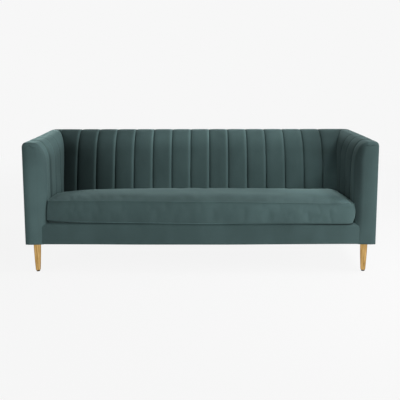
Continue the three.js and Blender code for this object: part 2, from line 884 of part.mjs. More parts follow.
function addCushion() {
  const cushion = new THREE.Group();
  const middleY = cushionSetback + cushionDepth / 2;
  cushion.position.set(0, frontY + middleY, deckZ(frontY + middleY) + 2 * fitGap);
  cushion.rotation.x = deckTilt;
  sofa.add(cushion);
  const rearFace = cushionDepth / 2;
  const zipSlot = box(
    -zipHalfLength,
    zipHalfLength,
    rearFace - 2 * coverThickness,
    rearFace + overrun,
    zipRise - zipHeight / 2,
    zipRise + zipHeight / 2,
  );
  const outside = cushionForm(coverStepsAcross, coverStepsAlong, coverStepsUp, 0);
  const coreForm = (inset) => cushionForm(coreStepsAcross, coreStepsAlong, coreStepsUp, inset);
  add(cushion, "cushion_cover", cut(outside, coreForm(coverThickness), zipSlot), velvet);
  add(cushion, "cushion_core", coreForm(coverThickness + fitGap), foam);
  add(
    cushion,
    "cushion_zip",
    box(
      -zipHalfLength + fitGap,
      zipHalfLength - fitGap,
      rearFace - coverThickness + fitGap,
      rearFace - coverThickness + fitGap + zipTapeThickness,
      zipRise - zipHeight / 2 + fitGap,
      zipRise + zipHeight / 2 - fitGap,
    ),
    zipTape,
  );
  const sliderX = zipHalfLength - sliderEndGap - sliderLength;
  const tapeFace = rearFace - coverThickness + fitGap + zipTapeThickness + fitGap;
  add(
    cushion,
    "zip_slider",
    box(
      sliderX,
      sliderX + sliderLength,
      tapeFace,
      tapeFace + sliderProud,
      zipRise - sliderHeight / 2,
      zipRise + sliderHeight / 2,
    ),
    brass,
  );
}

addChannelledPads();
addOutsidePanels();
addFrontRailCover();
addFrame();
addSuspension();
addDustCover();
addLegs();
addCushion();

export default sofa;
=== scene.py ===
import math

import bmesh
import bpy
import numpy as np
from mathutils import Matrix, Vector


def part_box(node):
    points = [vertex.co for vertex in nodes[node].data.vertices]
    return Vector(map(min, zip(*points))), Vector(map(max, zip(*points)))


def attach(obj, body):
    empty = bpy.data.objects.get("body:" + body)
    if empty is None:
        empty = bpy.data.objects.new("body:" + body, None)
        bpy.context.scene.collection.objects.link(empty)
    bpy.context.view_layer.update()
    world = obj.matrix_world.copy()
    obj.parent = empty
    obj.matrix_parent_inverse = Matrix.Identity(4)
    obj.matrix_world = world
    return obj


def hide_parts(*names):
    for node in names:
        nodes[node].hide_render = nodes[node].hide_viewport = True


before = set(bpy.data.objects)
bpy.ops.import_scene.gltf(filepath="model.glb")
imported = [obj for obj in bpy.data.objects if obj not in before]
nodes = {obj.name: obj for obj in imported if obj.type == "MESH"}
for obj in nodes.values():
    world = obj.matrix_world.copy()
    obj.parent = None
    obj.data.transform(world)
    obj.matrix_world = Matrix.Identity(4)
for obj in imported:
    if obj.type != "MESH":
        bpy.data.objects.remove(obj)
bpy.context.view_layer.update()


def span(node):
    # lowest and highest corner of a CAD node, as two arrays in metres
    low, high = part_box(node)
    return np.array(low), np.array(high)


# The sofa's main planes, read from the frame. The front faces -Y and right is +X.
armLow, armHigh = span("inside_arm_pad_right")
panelLow, panelHigh = span("outside_arm_panel_right")
halfWidth, armInner = armHigh[0], armLow[0]
frontY, rearY = armLow[1], panelHigh[1]
topZ, baseZ = armHigh[2], armLow[2]
deck = {"frontZ": 0.313, "fall": 0.0629}  # height at the front plane, and drop per metre behind it
cushionTilt = -math.atan(deck["fall"])


def deckZ(y):
    return deck["frontZ"] - deck["fall"] * (y - frontY)


# Colour and nodes

def linear(code):
    # sRGB hex to linear RGBA
    channels = np.array([int(code[i:i + 2], 16) / 255 for i in (1, 3, 5)])
    straight = np.where(channels <= 0.04045, channels / 12.92, ((channels + 0.055) / 1.055) ** 2.4)
    return (*straight, 1.0)


def addNode(tree, kind, links=None, **settings):
    # one node: settings are set on the node itself, links are {socket: output or value}
    made = tree.nodes.new(kind)
    for name, value in settings.items():
        setattr(made, name, value)
    for socket, value in (links or {}).items():
        if isinstance(value, bpy.types.NodeSocket):
            tree.links.new(value, made.inputs[socket])
        else:
            made.inputs[socket].default_value = value
    return made


def startMaterial(name):
    made = bpy.data.materials.new(name)
    made.use_nodes = True
    tree = made.node_tree
    tree.nodes.clear()
    shader = addNode(tree, "ShaderNodeBsdfPrincipled")
    out = addNode(tree, "ShaderNodeOutputMaterial")
    tree.links.new(shader.outputs["BSDF"], out.inputs["Surface"])
    place = addNode(tree, "ShaderNodeTexCoord").outputs["Object"]
    return made, tree, shader, place


def noise(tree, place, size, detail=3.0, rough=0.5, stretch=(1, 1, 1)):
    # noise whose blobs are about size metres across
    mapped = addNode(tree, "ShaderNodeMapping", {"Vector": place, "Scale": stretch})
    made = addNode(tree, "ShaderNodeTexNoise",
                   {"Vector": mapped.outputs[0], "Scale": 1 / size, "Detail": detail, "Roughness": rough})
    return made.outputs["Fac"]


def ramp(tree, value, stops):
    # colours or greys along a value, as {position: hex}
    made = addNode(tree, "ShaderNodeValToRGB", {"Fac": value})
    band = made.color_ramp
    for i, (position, code) in enumerate(sorted(stops.items())):
        stop = band.elements[i] if i < 2 else band.elements.new(position)
        stop.position = position
        stop.color = linear(code)
    return made.outputs["Color"]


def bump(tree, shader, height, distance, strength, under=None):
    links = {"Height": height, "Distance": distance, "Strength": strength}
    if under is not None:
        links["Normal"] = under
    made = addNode(tree, "ShaderNodeBump", links)
    tree.links.new(made.outputs["Normal"], shader.inputs["Normal"])
    return made.outputs["Normal"]


def velvet(name, pile, sheenCode="#c6e9e8"):
    # Cut-pile velvet: a matt nap that leans this way and that, so broad patches sit a shade apart,
    # with a pale sheen where the surface turns away. The pile's grain is drawn at 2.5 mm: 0.5 mm is too fine.
    made, tree, shader, place = startMaterial(name)
    patches = noise(tree, place, pile["patchSize"], 2.0, 0.45, (1.0, 1.0, 0.55))
    grain = noise(tree, place, pile["grainSize"], 2.0, 0.6)
    tone = ramp(tree, patches, {0.3: pile["dark"], 0.5: pile["middle"], 0.7: pile["light"]})
    speck = ramp(tree, grain, {0.25: "#c9c9c9", 0.75: "#ffffff"})
    mixed = addNode(tree, "ShaderNodeMix", {0: 0.5, 6: tone, 7: speck}, data_type="RGBA", blend_type="MULTIPLY")
    # painted light and shade: a factor kept on the mesh's points makes whole areas lighter or darker, and scales the
    # sheen with them
    paintedShading = addNode(tree, "ShaderNodeAttribute", attribute_name="paintedShading").outputs["Fac"]
    shadedColour = addNode(tree, "ShaderNodeVectorMath", {0: mixed.outputs[2], 3: paintedShading}, operation="SCALE")
    tree.links.new(shadedColour.outputs[0], shader.inputs["Base Color"])
    shine = addNode(tree, "ShaderNodeMath", {0: paintedShading, 1: pile["sheen"]}, operation="MULTIPLY")
    shader.inputs["Roughness"].default_value = 0.9
    shader.inputs["IOR"].default_value = 1.45
    shader.inputs["Specular IOR Level"].default_value = 0.15
    tree.links.new(shine.outputs[0], shader.inputs["Sheen Weight"])
    shader.inputs["Sheen Roughness"].default_value = 0.35
    shader.inputs["Sheen Tint"].default_value = linear(sheenCode)
    bump(tree, shader, grain, 0.0006, 0.35)
    return made


velvetPile = {
    "patchSize": 0.16, "grainSize": 0.0025, "sheen": 0.42,
    "dark": "#475b5b", "middle": "#4c6161", "light": "#516767",
}
velvetCloth = velvet("teal_cut_pile_velvet", velvetPile)


def wood(name, light, dark, length):
    # Planed hardwood, unfinished: straight grain along the piece, with darker pores 3 mm apart.
    made, tree, shader, place = startMaterial(name)
    stretch = [0.06 if axis == length else 1.0 for axis in "xyz"]
    grain = noise(tree, place, 0.012, 4.0, 0.6, stretch)
    pores = noise(tree, place, 0.003, 2.0, 0.5, stretch)
    tone = ramp(tree, grain, {0.35: dark, 0.65: light})
    tree.links.new(tone, shader.inputs["Base Color"])
    shader.inputs["Roughness"].default_value = 0.62
    bump(tree, shader, pores, 0.0004, 0.4)
    return made


def cloth(name, light, dark, thread):
    # Black non-woven platform cloth: short pressed fibres, drawn at twice their width to show.
    made, tree, shader, place = startMaterial(name)
    fibres = noise(tree, place, thread, 3.0, 0.7)
    tree.links.new(ramp(tree, fibres, {0.3: dark, 0.7: light}), shader.inputs["Base Color"])
    shader.inputs["Roughness"].default_value = 0.95
    shader.inputs["Specular IOR Level"].default_value = 0.2
    bump(tree, shader, fibres, 0.0005, 0.4)
    return made


def brass(name, light, dark, roughness):
    # Turned brass, brushed along the leg and lacquered: a warm metal with streaks 5 mm wide and soft reflections.
    made, tree, shader, place = startMaterial(name)
    streaks = noise(tree, place, 0.005, 2.0, 0.6, (1.0, 1.0, 0.03))
    tone = ramp(tree, streaks, {0.35: dark, 0.65: light})
    tree.links.new(tone, shader.inputs["Base Color"])
    shader.inputs["Metallic"].default_value = 1.0
    shader.inputs["Specular Tint"].default_value = linear("#8a6a3c")  # darker where it turns away
    spread = addNode(tree, "ShaderNodeMapRange",
                     {"Value": streaks, "To Min": roughness - 0.05, "To Max": roughness + 0.08})
    tree.links.new(spread.outputs["Result"], shader.inputs["Roughness"])
    bump(tree, shader, streaks, 0.0001, 0.25)
    return made


def steel(name, light, dark, roughness):
    # Drawn or zinc-plated steel: a grey metal, faintly mottled.
    made, tree, shader, place = startMaterial(name)
    mottle = noise(tree, place, 0.006, 3.0, 0.6)
    tree.links.new(ramp(tree, mottle, {0.3: dark, 0.7: light}), shader.inputs["Base Color"])
    shader.inputs["Metallic"].default_value = 1.0
    shader.inputs["Roughness"].default_value = roughness
    bump(tree, shader, mottle, 0.0001, 0.2)
    return made


def moulded(name, light, dark, roughness):
    # Moulded plastic or foam: an even matt skin with a fine sparkle.
    made, tree, shader, place = startMaterial(name)
    grit = noise(tree, place, 0.0015, 2.0, 0.6)
    tree.links.new(ramp(tree, grit, {0.3: dark, 0.7: light}), shader.inputs["Base Color"])
    shader.inputs["Roughness"].default_value = roughness
    bump(tree, shader, grit, 0.0003, 0.3)
    return made


timberX = wood("planed_hardwood_along_x", "#bd9362", "#96703f", "x")
timberY = wood("planed_hardwood_along_y", "#bd9362", "#96703f", "y")
timberZ = wood("planed_hardwood_upright", "#bd9362", "#96703f", "z")
pressedBoard = moulded("pressed_hardboard", "#94744f", "#7c5f3f", 0.8)
platformCloth = cloth("black_platform_cloth", "#313536", "#1c1f20", 0.003)
turnedBrass = brass("brushed_lacquered_brass", "#dcb678", "#9c7840", 0.28)
springSteel = steel("drawn_spring_steel", "#7b8084", "#5b5f63", 0.4)
zincPlate = steel("zinc_plated_steel", "#a9adb1", "#8a8e92", 0.42)
glidePlastic = moulded("moulded_black_glide", "#262422", "#171615", 0.55)
zipWoven = cloth("woven_zip_tape", "#2c3f3f", "#1b2a2a", 0.0015)
print("materials made")


# Mesh helpers

def grid(rows, columns, start=0):
    # corner numbers of each face of a grid of rows x columns points, as an array of four columns
    first = (np.arange(rows - 1)[:, None] * columns + np.arange(columns - 1)[None, :]).ravel() + start
    return np.stack([first, first + 1, first + 1 + columns, first + columns], axis=1)


# Painted light and shade on the velvet, as factors on its colour and sheen: tone along x, a lift over the roll, a
# change towards the rear, and the fronts on their own. The dark left end of the back, the dark inside of the right
# arm and the pale right end of the cushion are painted shade and painted light.
paintedShadingTables = {
    "channelled_back": {"x": (-0.92, -0.8, -0.65, -0.3, 0.06, 0.13, 0.2, 0.3, 0.7, 0.8, 0.845, 0.885, 0.92),
                        "tone": (0.3, 0.5, 0.72, 1.01, 1.04, 0.83, 1.05, 1.08, 0.97, 1.1, 1.41, 1.54, 1.5),
                        "high": (0.32, 0.52, 0.64, 1.0, 1.04, 0.92, 1.05, 1.1, 1.06, 0.87, 0.66, 0.72, 0.84),
                        "roll": (0.8, 0.35, 0.22, 0.15, 0.08, 0.0, 0.04, 0.02, -0.02, -0.1, -0.1, -0.2, -0.3),
                        "rim": (0.8, 0.9, 0.95, 0.65, 0.6, 0.6, 0.6, 0.45, 0.1, 0.0, 0.0, 0.0, 0.0),
                        "flank": 0.2, "stitchShade": 0.35},
    "channelled_arm_left": {"x": (-1.06, -0.92), "tone": (1.05, 1.05), "roll": 0.55,
                            "y": (-0.36, -0.25, 0.2), "deep": (1.0, 0.88, 0.68), "firstSeamShade": 0.38, "headShade": 0.84,
                            "front": (-1.06, -1.02, -0.97, -0.92), "frontTone": (0.81, 1.27, 1.33, 1.08)},
    "channelled_arm_right": {"x": (0.92, 1.06), "tone": (0.6, 0.6), "roll": -0.12,
                             "y": (-0.3, 0.2), "deep": (1.0, 0.85),
                             "front": (0.92, 0.95, 0.98, 1.02, 1.06), "frontTone": (0.57, 0.5, 0.83, 0.85, 0.8),
                             "footTone": (0.9, 0.85, 0.85, 0.85, 0.8)},
    "bench_cushion": {"x": (-0.92, -0.4, 0, 0.4, 0.7, 0.82, 0.88, 0.92), "roll": 0,
                      "tone": (0.8, 0.8, 0.82, 0.97, 1.55, 2.2, 2.7, 2.8), "under": 1.0, "seamAt": (0.109, 0.125),
                      "y": (-0.39, -0.12), "deep": (0.64, 1.0), "deepShare": (0, 0, 0, 0.3, 1, 1, 0, 0),
                      "front": (-0.92, -0.4, 0, 0.4, 0.92), "frontTone": (0.88, 0.9, 0.96, 1.18, 1.12)},
    # the cushion's lower seam: painted shadow at its ends, a painted highlight on its lip in the middle
    "cushion_bottom_seam": {"x": (-0.92, -0.84, -0.72, -0.42, 0, 0.42, 0.6, 0.78, 0.92), "roll": 0,
                            "tone": (0.1, 0.7, 1.5, 1.5, 1.5, 0.8, 0.4, 0.12, 0.1)},
    "front_rail_velvet": {"x": (-0.92, 0, 0.92), "tone": (0.93, 0.9, 0.9), "roll": 0},
}


def channelShade(x, shadingTable, climb):
    # across a channel of the back: a painted highlight as a pale rim just left of each seam, painted shade a little
    # darker just right of it, and the darkest painted shade in the stitched line itself, low down
    share = (x / channels["backPitch"] + 0.5 + 1e-6) % 1
    before, after = (1 - share) * channels["backPitch"], share * channels["backPitch"]
    near = before / channels["rimWidth"]
    shade = 1 + np.interp(x, shadingTable["x"], shadingTable["rim"]) * near * np.exp((1 - near ** 2) / 2)
    shade *= 1 - shadingTable["flank"] * np.exp(-(after / channels["flankWidth"]) ** 2)
    return shade * (1 - shadingTable["stitchShade"] * (1 - climb) * np.exp(-(np.minimum(before, after) / channels["stitchWidth"]) ** 2))


def paintedShadingTone(name, points):
    # painted light and shade at each point of a velvet piece, as one factor on its colour and sheen
    x, y, z = points.T
    if name not in paintedShadingTables:
        return np.ones(len(points))
    shadingTable = paintedShadingTables[name]
    rise = np.clip((z - (topZ - 0.14)) / 0.14, 0, 1)
    rise = rise ** 2 * (3 - 2 * rise)
    climb = np.clip((z - 0.5) / (topZ - 0.65), 0, 1)
    tone = np.interp(x, shadingTable["x"], shadingTable["tone"])
    tone += (np.interp(x, shadingTable["x"], shadingTable.get("high", shadingTable["tone"])) - tone) * climb
    tone *= 1 + np.interp(x, shadingTable["x"], np.broadcast_to(shadingTable["roll"], len(shadingTable["x"]))) * rise
    if "deep" in shadingTable:
        part = np.interp(x, shadingTable["x"], shadingTable.get("deepShare", np.ones(len(shadingTable["x"]))))
        tone *= 1 + (np.interp(y, shadingTable["y"], shadingTable["deep"]) - 1) * (1 - rise) * part
    if "under" in shadingTable:  # the border and the bottom, below the top seam, have a tone of their own
        toFront = np.clip((frontY + cushion["setback"] - y) / cushion["depth"] * 2 + 1, 0, 1)
        low, high = shadingTable["seamAt"]
        seam = high - (high - low) * toFront ** 3
        tone += (shadingTable["under"] - tone) * np.clip((seam - z + deckZ(y)) / 0.006, 0, 1)
    if "rim" in shadingTable:
        tone *= channelShade(x, shadingTable, climb)
    if "firstSeamShade" in shadingTable:  # painted shade just behind the arm's first seam
        behind = (y - frontY - channels["armFirstSeam"] - channels["seamShadeAt"]) / channels["seamShadeWidth"]
        tone *= 1 - shadingTable["firstSeamShade"] * (1 - 0.7 * rise) * np.exp(-behind ** 2)
    if "front" not in shadingTable:
        return tone
    front = np.interp(x, shadingTable["front"], shadingTable["frontTone"])
    foot = np.interp(x, shadingTable["front"], shadingTable.get("footTone", shadingTable["frontTone"]))
    front += (foot - front) * np.clip((baseZ + 0.15 - z) / 0.1, 0, 1)
    front *= 1 + (shadingTable.get("headShade", 1) - 1) * np.clip((z - topZ + 0.15) / 0.08, 0, 1)
    share = np.clip((frontY + 0.04 - y) / 0.03, 0, 1)
    return tone * (1 - share) + front * share


def paintShading(made):
    # writes the painted light and shade on the points of a velvet mesh
    mesh = made.data
    places = np.zeros(len(mesh.vertices) * 3)
    mesh.vertices.foreach_get("co", places)
    kept = mesh.attributes.get("paintedShading") or mesh.attributes.new("paintedShading", "FLOAT", "POINT")
    kept.data.foreach_set("value", paintedShadingTone(made.name, places.reshape(-1, 3)))


def buildMesh(name, sheets, material, weld=1e-5, sharp=None):
    # One object from several grids of points, each with an optional mask of the faces that stay.
    points, faces, start = [], [], 0
    for sheet, keep in sheets:
        rows, columns = sheet.shape[:2]
        found = grid(rows, columns, start)
        if keep is not None:
            found = found[keep.ravel()]
        points.append(sheet.reshape(-1, 3))
        faces.append(found)
        start += rows * columns
    mesh = bpy.data.meshes.new(name)
    mesh.from_pydata(np.concatenate(points).tolist(), [], np.concatenate(faces).tolist())
    work = bmesh.new()
    work.from_mesh(mesh)
    loose = [v for v in work.verts if not v.link_faces]
    bmesh.ops.delete(work, geom=loose, context="VERTS")
    bmesh.ops.remove_doubles(work, verts=work.verts, dist=weld)
    bmesh.ops.recalc_face_normals(work, faces=work.faces)
    work.to_mesh(mesh)
    work.free()
    mesh.shade_smooth()
    if sharp:
        mesh.set_sharp_from_angle(angle=math.radians(sharp))
    made = bpy.data.objects.new(name, mesh)
    bpy.context.scene.collection.objects.link(made)
    made.data.materials.append(material)
    if material is velvetCloth:
        paintShading(made)
    return made


def settle(made, body, replaced):
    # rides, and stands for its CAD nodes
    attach(made, body)
    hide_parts(*replaced)
    return made


def turnOut(made, inward):
    # faces of an open sheet are turned so that they point away from a place inside it
    mesh = made.data
    count = len(mesh.polygons)
    centres, normals = np.zeros(count * 3), np.zeros(count * 3)
    mesh.polygons.foreach_get("center", centres)
    mesh.polygons.foreach_get("normal", normals)
    away = centres.reshape(-1, 3) - inward
    if np.sum(away * normals.reshape(-1, 3)) < 0:
        mesh.flip_normals()
    return made


def thicken(made, thickness):
    # cloth and wadding get a thickness, inwards
    solid = made.modifiers.new("wadding", "SOLIDIFY")
    solid.thickness = thickness
    solid.offset = -1
    solid.use_rim = True
    return made


def waves(points, seed, size, height):
    # soft unevenness: a sum of eight sine waves in fixed directions, about size across
    draw = np.random.RandomState(seed)
    total = np.zeros(points.shape[:-1])
    for _ in range(8):
        way = draw.normal(size=3)
        way *= 2 * np.pi / (size * draw.uniform(0.7, 1.6) * np.linalg.norm(way))
        total += np.sin(points @ way + draw.uniform(0, 2 * np.pi))
    return height * total / 8


# Channelled arms and back: an outline, carried back along an arm or along the back

channels = {
    "armFirstSeam": 0.135, "armPitch": 0.142, "backPitch": 0.1295, "backSeams": 7,
    "depth": 0.011, "notch": 0.006, "fullness": 3.0, "outerNotch": 0.0035,
    "armFirst": {"left": 1.8, "right": 0.8}, "armFade": {"left": 0.5, "right": 0.4},
    "groove": 0.004, "grooveWidth": 0.0024, "steps": 20,
    "rimWidth": 0.0075, "flankWidth": 0.02, "stitchWidth": 0.003, "seamShadeAt": 0.016, "seamShadeWidth": 0.016,
}
roll = {
    "reach": 0.078, "height": 0.140, "rake": 0.229, "straight": 0.3, "ridge": 0.048,
    "backThickness": 0.181, "edgeRadius": 0.020, "cornerRadius": 0.016,
}
armFront = {
    "innerRadius": 0.040, "innerReach": 0.058, "topRadius": 0.022, "outerRadius": 0.008, "padDepth": 0.0123,
    "crown": 0.003, "crownPlace": 0.62, "topSwell": {"left": (0.003, 0.35), "right": (0.006, 0.9)},
    "cornerPull": 0.016, "pleatDepth": 0.005, "pleatWidth": 0.003, "pleatReach": 0.02,
    "pleats": {"left": ((0.036, 0.010), (0.084, 0.031)), "right": ((0.010, 0.004), (0.082, 0.019))},
}
skin = {"faceSteps": 64, "rollSteps": 44, "topSteps": 36, "thickness": 0.004, "hemBelow": 0.05,
        "panelGap": 0.0003, "panelBlend": 5}
lean = {"aside": -0.002, "foot": 0.005, "ridge": -0.009, "fromZ": 0.5}
rollStart = topZ - roll["height"]
panelTop = panelHigh[2]
backFace = rearY - roll["backThickness"]


def seamFall(share):
    # 0 on a channel's crest, 1 at its seams: a superellipse across the channel
    side = np.abs(2 * share - 1)
    return 1 - (1 - side ** channels["fullness"]) ** (1 / channels["fullness"])


def groove(share, pitch):
    # the stitched line itself, a narrow dip at each end of a channel
    gap = np.minimum(share, 1 - share) * pitch
    return channels["groove"] * np.exp(-(gap / channels["grooveWidth"]) ** 2)


def shares(steps, start=0.0):
    # places across a channel, close together at its seams
    turn = np.linspace(np.arccos(1 - 2 * start), np.pi, steps + 1)
    return (1 - np.cos(turn)) / 2


def levels():
    # heights up the straight face, with one at the outside panel's top, and angles over the roll
    face = np.linspace(baseZ, rollStart, skin["faceSteps"] + 1)
    angles = np.linspace(0, np.pi / 2, skin["rollSteps"] + 1)[1:]
    return face, angles


def sideOutline(inner, crown, top, far, faceAt, advance, squareShare):
    # Points of one section, in (across, height): up the inside face, over the roll, along the top,
    # and down the outside at the same heights. All arguments are arrays with one value for each section.
    face, angles = levels()
    ones = np.ones_like(inner)
    straight = [faceAt(inner, z) for z in face]
    rise = np.sin(angles)
    innerAcross = straight + [inner + (far["start"] - inner) * advance(a) for a in angles]
    innerUp = [z * ones for z in face] + [rollStart + (crown - rollStart) * r for r in rise]
    outerUp = [z * ones for z in face] + [rollStart + (top - rollStart) * r for r in rise]
    # the outside of the velvet ends in a straight line on the outside panel's top edge; the heights near it follow
    level = len(face) + int(np.argmax(rollStart + roll["height"] * rise > panelTop))
    shift = panelTop + skin["panelGap"] - outerUp[level]
    outerUp = [z + shift * math.exp(-((k - level) / skin["panelBlend"]) ** 2) for k, z in enumerate(outerUp)]
    radius = roll["edgeRadius"]
    drop = [np.clip(z - (top - radius), 0, radius) for z in outerUp]
    outerAcross = [far["end"] - radius + np.sqrt(np.maximum(radius ** 2 - d ** 2, 0)) for d in drop]
    share = np.linspace(0, 1, skin["topSteps"] + 2)[1:-1]
    topAcross = [innerAcross[-1] + (outerAcross[-1] - innerAcross[-1]) * s for s in share]
    topUp = [innerUp[-1] + (outerUp[-1] - innerUp[-1]) * s ** squareShare for s in share]
    across = np.array(innerAcross + topAcross + outerAcross[::-1])
    up = np.array(innerUp + topUp + outerUp[::-1])
    return across, up


def armOutline(fall, dip, inner=0.0, top=0.0, outer=0.0, pull=0.0):
    ones = np.ones_like(fall)
    sink = channels["depth"] * fall + dip + pull
    faceX = armInner + sink + inner
    crown = topZ - channels["notch"] * fall - dip - top
    edge = topZ - channels["outerNotch"] * fall - 0.5 * dip - top
    far = {"start": (armInner + roll["reach"]) * ones, "end": (halfWidth - outer) * ones}
    return sideOutline(faceX, crown, edge, far, lambda x, z: x, lambda a: 1 - np.cos(a), 1.0)


def backOutline(fall, dip):
    ones = np.ones_like(fall)
    sink = channels["depth"] * fall + dip
    faceY = backFace + sink
    crown = topZ - channels["notch"] * fall - dip
    edge = topZ - channels["outerNotch"] * fall - 0.5 * dip
    far = {"start": (rearY - roll["ridge"]) * ones, "end": rearY * ones}
    straight = roll["straight"]
    advance = lambda a: (1 - straight) * (1 - np.cos(a)) + straight * 2 * a / np.pi
    faceAt = lambda y, z: y - roll["rake"] * (rollStart - z)
    return sideOutline(faceY, crown, edge, far, faceAt, advance, 1.0)


def roundIn(radius, depth):
    # how far an edge of that radius has drawn in, at a distance from its face
    left = np.maximum(radius - depth, 0)
    return radius - np.sqrt(radius ** 2 - left ** 2)


def roundCorner(points):
    # the upright corners at the rear are rounded in plan
    radius = roll["cornerRadius"]
    over = np.abs(points[..., 0]) - (halfWidth - radius)
    back = points[..., 1] - (rearY - radius)
    reach = np.hypot(np.maximum(over, 0), np.maximum(back, 0))
    scale = np.where((over > 0) & (back > 0) & (reach > radius), radius / np.maximum(reach, 1e-9), 1.0)
    sign = np.sign(points[..., 0])
    rounded = points.copy()
    rounded[..., 0] = np.where(scale < 1, sign * (halfWidth - radius + over * scale), points[..., 0])
    rounded[..., 1] = np.where(scale < 1, rearY - radius + back * scale, points[..., 1])
    return rounded


seamLine = np.array([1.0])
mitreX = armOutline(seamLine, seamLine * channels["groove"], pull=armFront["cornerPull"])[0][:, 0]
mitreY = backOutline(seamLine, seamLine * channels["groove"])[0][:, 0]
outlineUp = armOutline(np.array([0.0]), np.array([0.0]))[1][:, 0]
lastLevel = skin["faceSteps"] + skin["rollSteps"]
isInner = np.arange(len(outlineUp)) <= lastLevel
isOuter = np.arange(len(outlineUp)) > lastLevel + skin["topSteps"]


def foldPleat(sheet, label):
    # a short fold in the velvet along the front top edge: a narrow dip along a line, fading at both ends
    start, end = [np.array([halfWidth - inward, topZ - below]) for inward, below in armFront["pleats"][label]]
    length = np.linalg.norm(end - start)
    along = (end - start) / length
    offset = sheet[..., [0, 2]] - start
    travel = np.clip((offset @ along) / length, 0, 1)
    off = offset @ np.array([-along[1], along[0]]) - 0.004 * np.sin(np.pi * travel)
    fade = np.sin(np.pi * travel) ** 0.5 * np.clip(1 - (sheet[..., 1] - frontY) / armFront["pleatReach"], 0, 1)
    sheet[..., 1] += armFront["pleatDepth"] * fade * np.exp(-(off / armFront["pleatWidth"]) ** 2)


def armSkin(side):
    # sections from the front plane back: the rounded front edge, whole channels, then the one up to the mitre
    label = "right" if side > 0 else "left"
    turn = np.linspace(0, np.pi / 2, 17)
    depth = armFront["innerRadius"] * (1 - np.cos(turn))
    depth[np.argmin(np.abs(depth - armFront["padDepth"]))] = armFront["padDepth"]
    fall = np.zeros_like(depth)
    dip = np.zeros_like(depth)
    first = shares(channels["steps"] // 2 + 2, 0.5)[1:]
    run = channels["armFirstSeam"] - armFront["innerRadius"]
    depth = np.append(depth, armFront["innerRadius"] + run * (2 * first - 1))
    fall = np.append(fall, seamFall(first))
    dip = np.append(dip, groove(first, channels["armPitch"]) * channels["armFirst"][label])
    across = shares(channels["steps"])[1:]
    # the seams between the first and the corner are drawn in less
    seam, weight, faded = channels["armFirstSeam"], channels["armFirst"][label], channels["armFade"][label]
    while frontY + seam + 1.5 * channels["armPitch"] < backFace:
        drawn = weight + (faded - weight) * across
        depth = np.append(depth, seam + channels["armPitch"] * across)
        fall = np.append(fall, seamFall(across) * np.minimum(drawn, 1))
        dip = np.append(dip, groove(across, channels["armPitch"]) * drawn)
        seam += channels["armPitch"]
        weight = faded
    inset = [roundIn(armFront[key], depth) for key in ("innerRadius", "topRadius", "outerRadius")]
    inset[0] *= armFront["innerReach"] / armFront["innerRadius"]
    height, fade = armFront["topSwell"][label]
    swellAt = lambda part: height * np.maximum(1 - (part / fade) ** 2, 0) * (1 - part ** 6)
    whole = mitreY[-1] - frontY
    inset[1] -= swellAt(depth / whole)
    x, z = armOutline(fall, dip, *inset)
    y = np.broadcast_to(frontY + depth, x.shape)
    start = depth[-1] / whole
    whole = np.stack([x, y, z], axis=-1)
    # the last channel is drawn out into the corner
    drawn = weight + (1 - weight) * across
    lastX, lastZ = armOutline(seamFall(across) * drawn, groove(across, channels["armPitch"]) * drawn,
                              top=-swellAt(start + (1 - start) * across), pull=armFront["cornerPull"] * across ** 1.8)
    end = mitreY[:, None] - 0.0003
    lastY = frontY + seam + (end - frontY - seam) * across[None, :]
    last = np.stack([lastX, lastY, lastZ], axis=-1)
    sections = np.concatenate([whole, last], axis=1)

    # the front face, filled from its inner edge to its outer edge at each height
    count = lastLevel + 1
    ring = sections[:, 0]
    innerEdge, outerEdge = ring[:count], ring[::-1][:count]
    share = np.linspace(0, 1, skin["topSteps"] + 2)
    face = innerEdge[:, None] + (outerEdge - innerEdge)[:, None] * share[None, :, None]
    place = armFront["crownPlace"]
    swell = 1 - np.where(share < place, (place - share) / place, (share - place) / (1 - place)) ** 2
    rise = 1 - np.clip((face[..., 2] - rollStart) / roll["height"], 0, 1) ** 4
    face[..., 1] -= armFront["crown"] * swell[None, :] * rise
    for sheet in (sections, face):
        foldPleat(sheet, label)

    for sheet, seed in ((sections, 3), (face, 3)):
        away = np.clip((sheet[..., 1] - frontY) / 0.1 + 0.3, 0, 1)
        push = waves(sheet, seed + (side > 0), 0.17, 0.0016) * away
        inside = np.clip((armInner + 0.06 - sheet[..., 0]) / 0.06, 0, 1)
        sheet[..., 0] += push * inside
        sheet[..., 1] += np.where(sheet[..., 1] < frontY + 0.02, push * 0.8, 0)

    low = np.minimum(outlineUp[:-1], outlineUp[1:])
    deep = (sections[0, :-1, 1] - frontY)
    isPanel = isOuter[:-1] & (low < panelTop - 1e-6)
    keep = ~(isPanel[:, None] & (deep[None, :] > armFront["padDepth"] - 1e-4))
    isHidden = isInner[:-1] & (low < baseZ + 0.075)
    keep &= ~(isHidden[:, None] & (deep[None, :] > skin["hemBelow"]))
    for sheet in (sections, face):
        sheet[..., 0] *= side
    name = "channelled_arm_" + label
    made = buildMesh(name, [(roundCorner(sections), keep), (face, None)], velvetCloth)
    turnOut(made, np.array([side * (halfWidth - 0.05), 0, 0.5]))
    thicken(made, skin["thickness"])
    return settle(made, "sofa_base", ["inside_arm_pad_" + label])


def leanSeams(made, lastSeam):
    # the back's seams stand a little wider apart at the seat than at the ridge, and all a little to the left:
    # x grows by a share of itself that changes with the square of the height, held at the two corners
    places = np.zeros(len(made.data.vertices) * 3)
    made.data.vertices.foreach_get("co", places)
    places = places.reshape(-1, 3)
    x, z = places[:, 0], places[:, 2]
    hold = np.clip((mitreX.min() - np.abs(x)) / (mitreX.min() - lastSeam), 0, 1)
    climb = np.clip((z - lean["fromZ"]) / (topZ - lean["fromZ"]), 0, 1) ** 2
    places[:, 0] += hold * (lean["aside"] + x * (lean["foot"] + (lean["ridge"] - lean["foot"]) * climb))
    made.data.vertices.foreach_set("co", places.ravel())
    made.data.update()


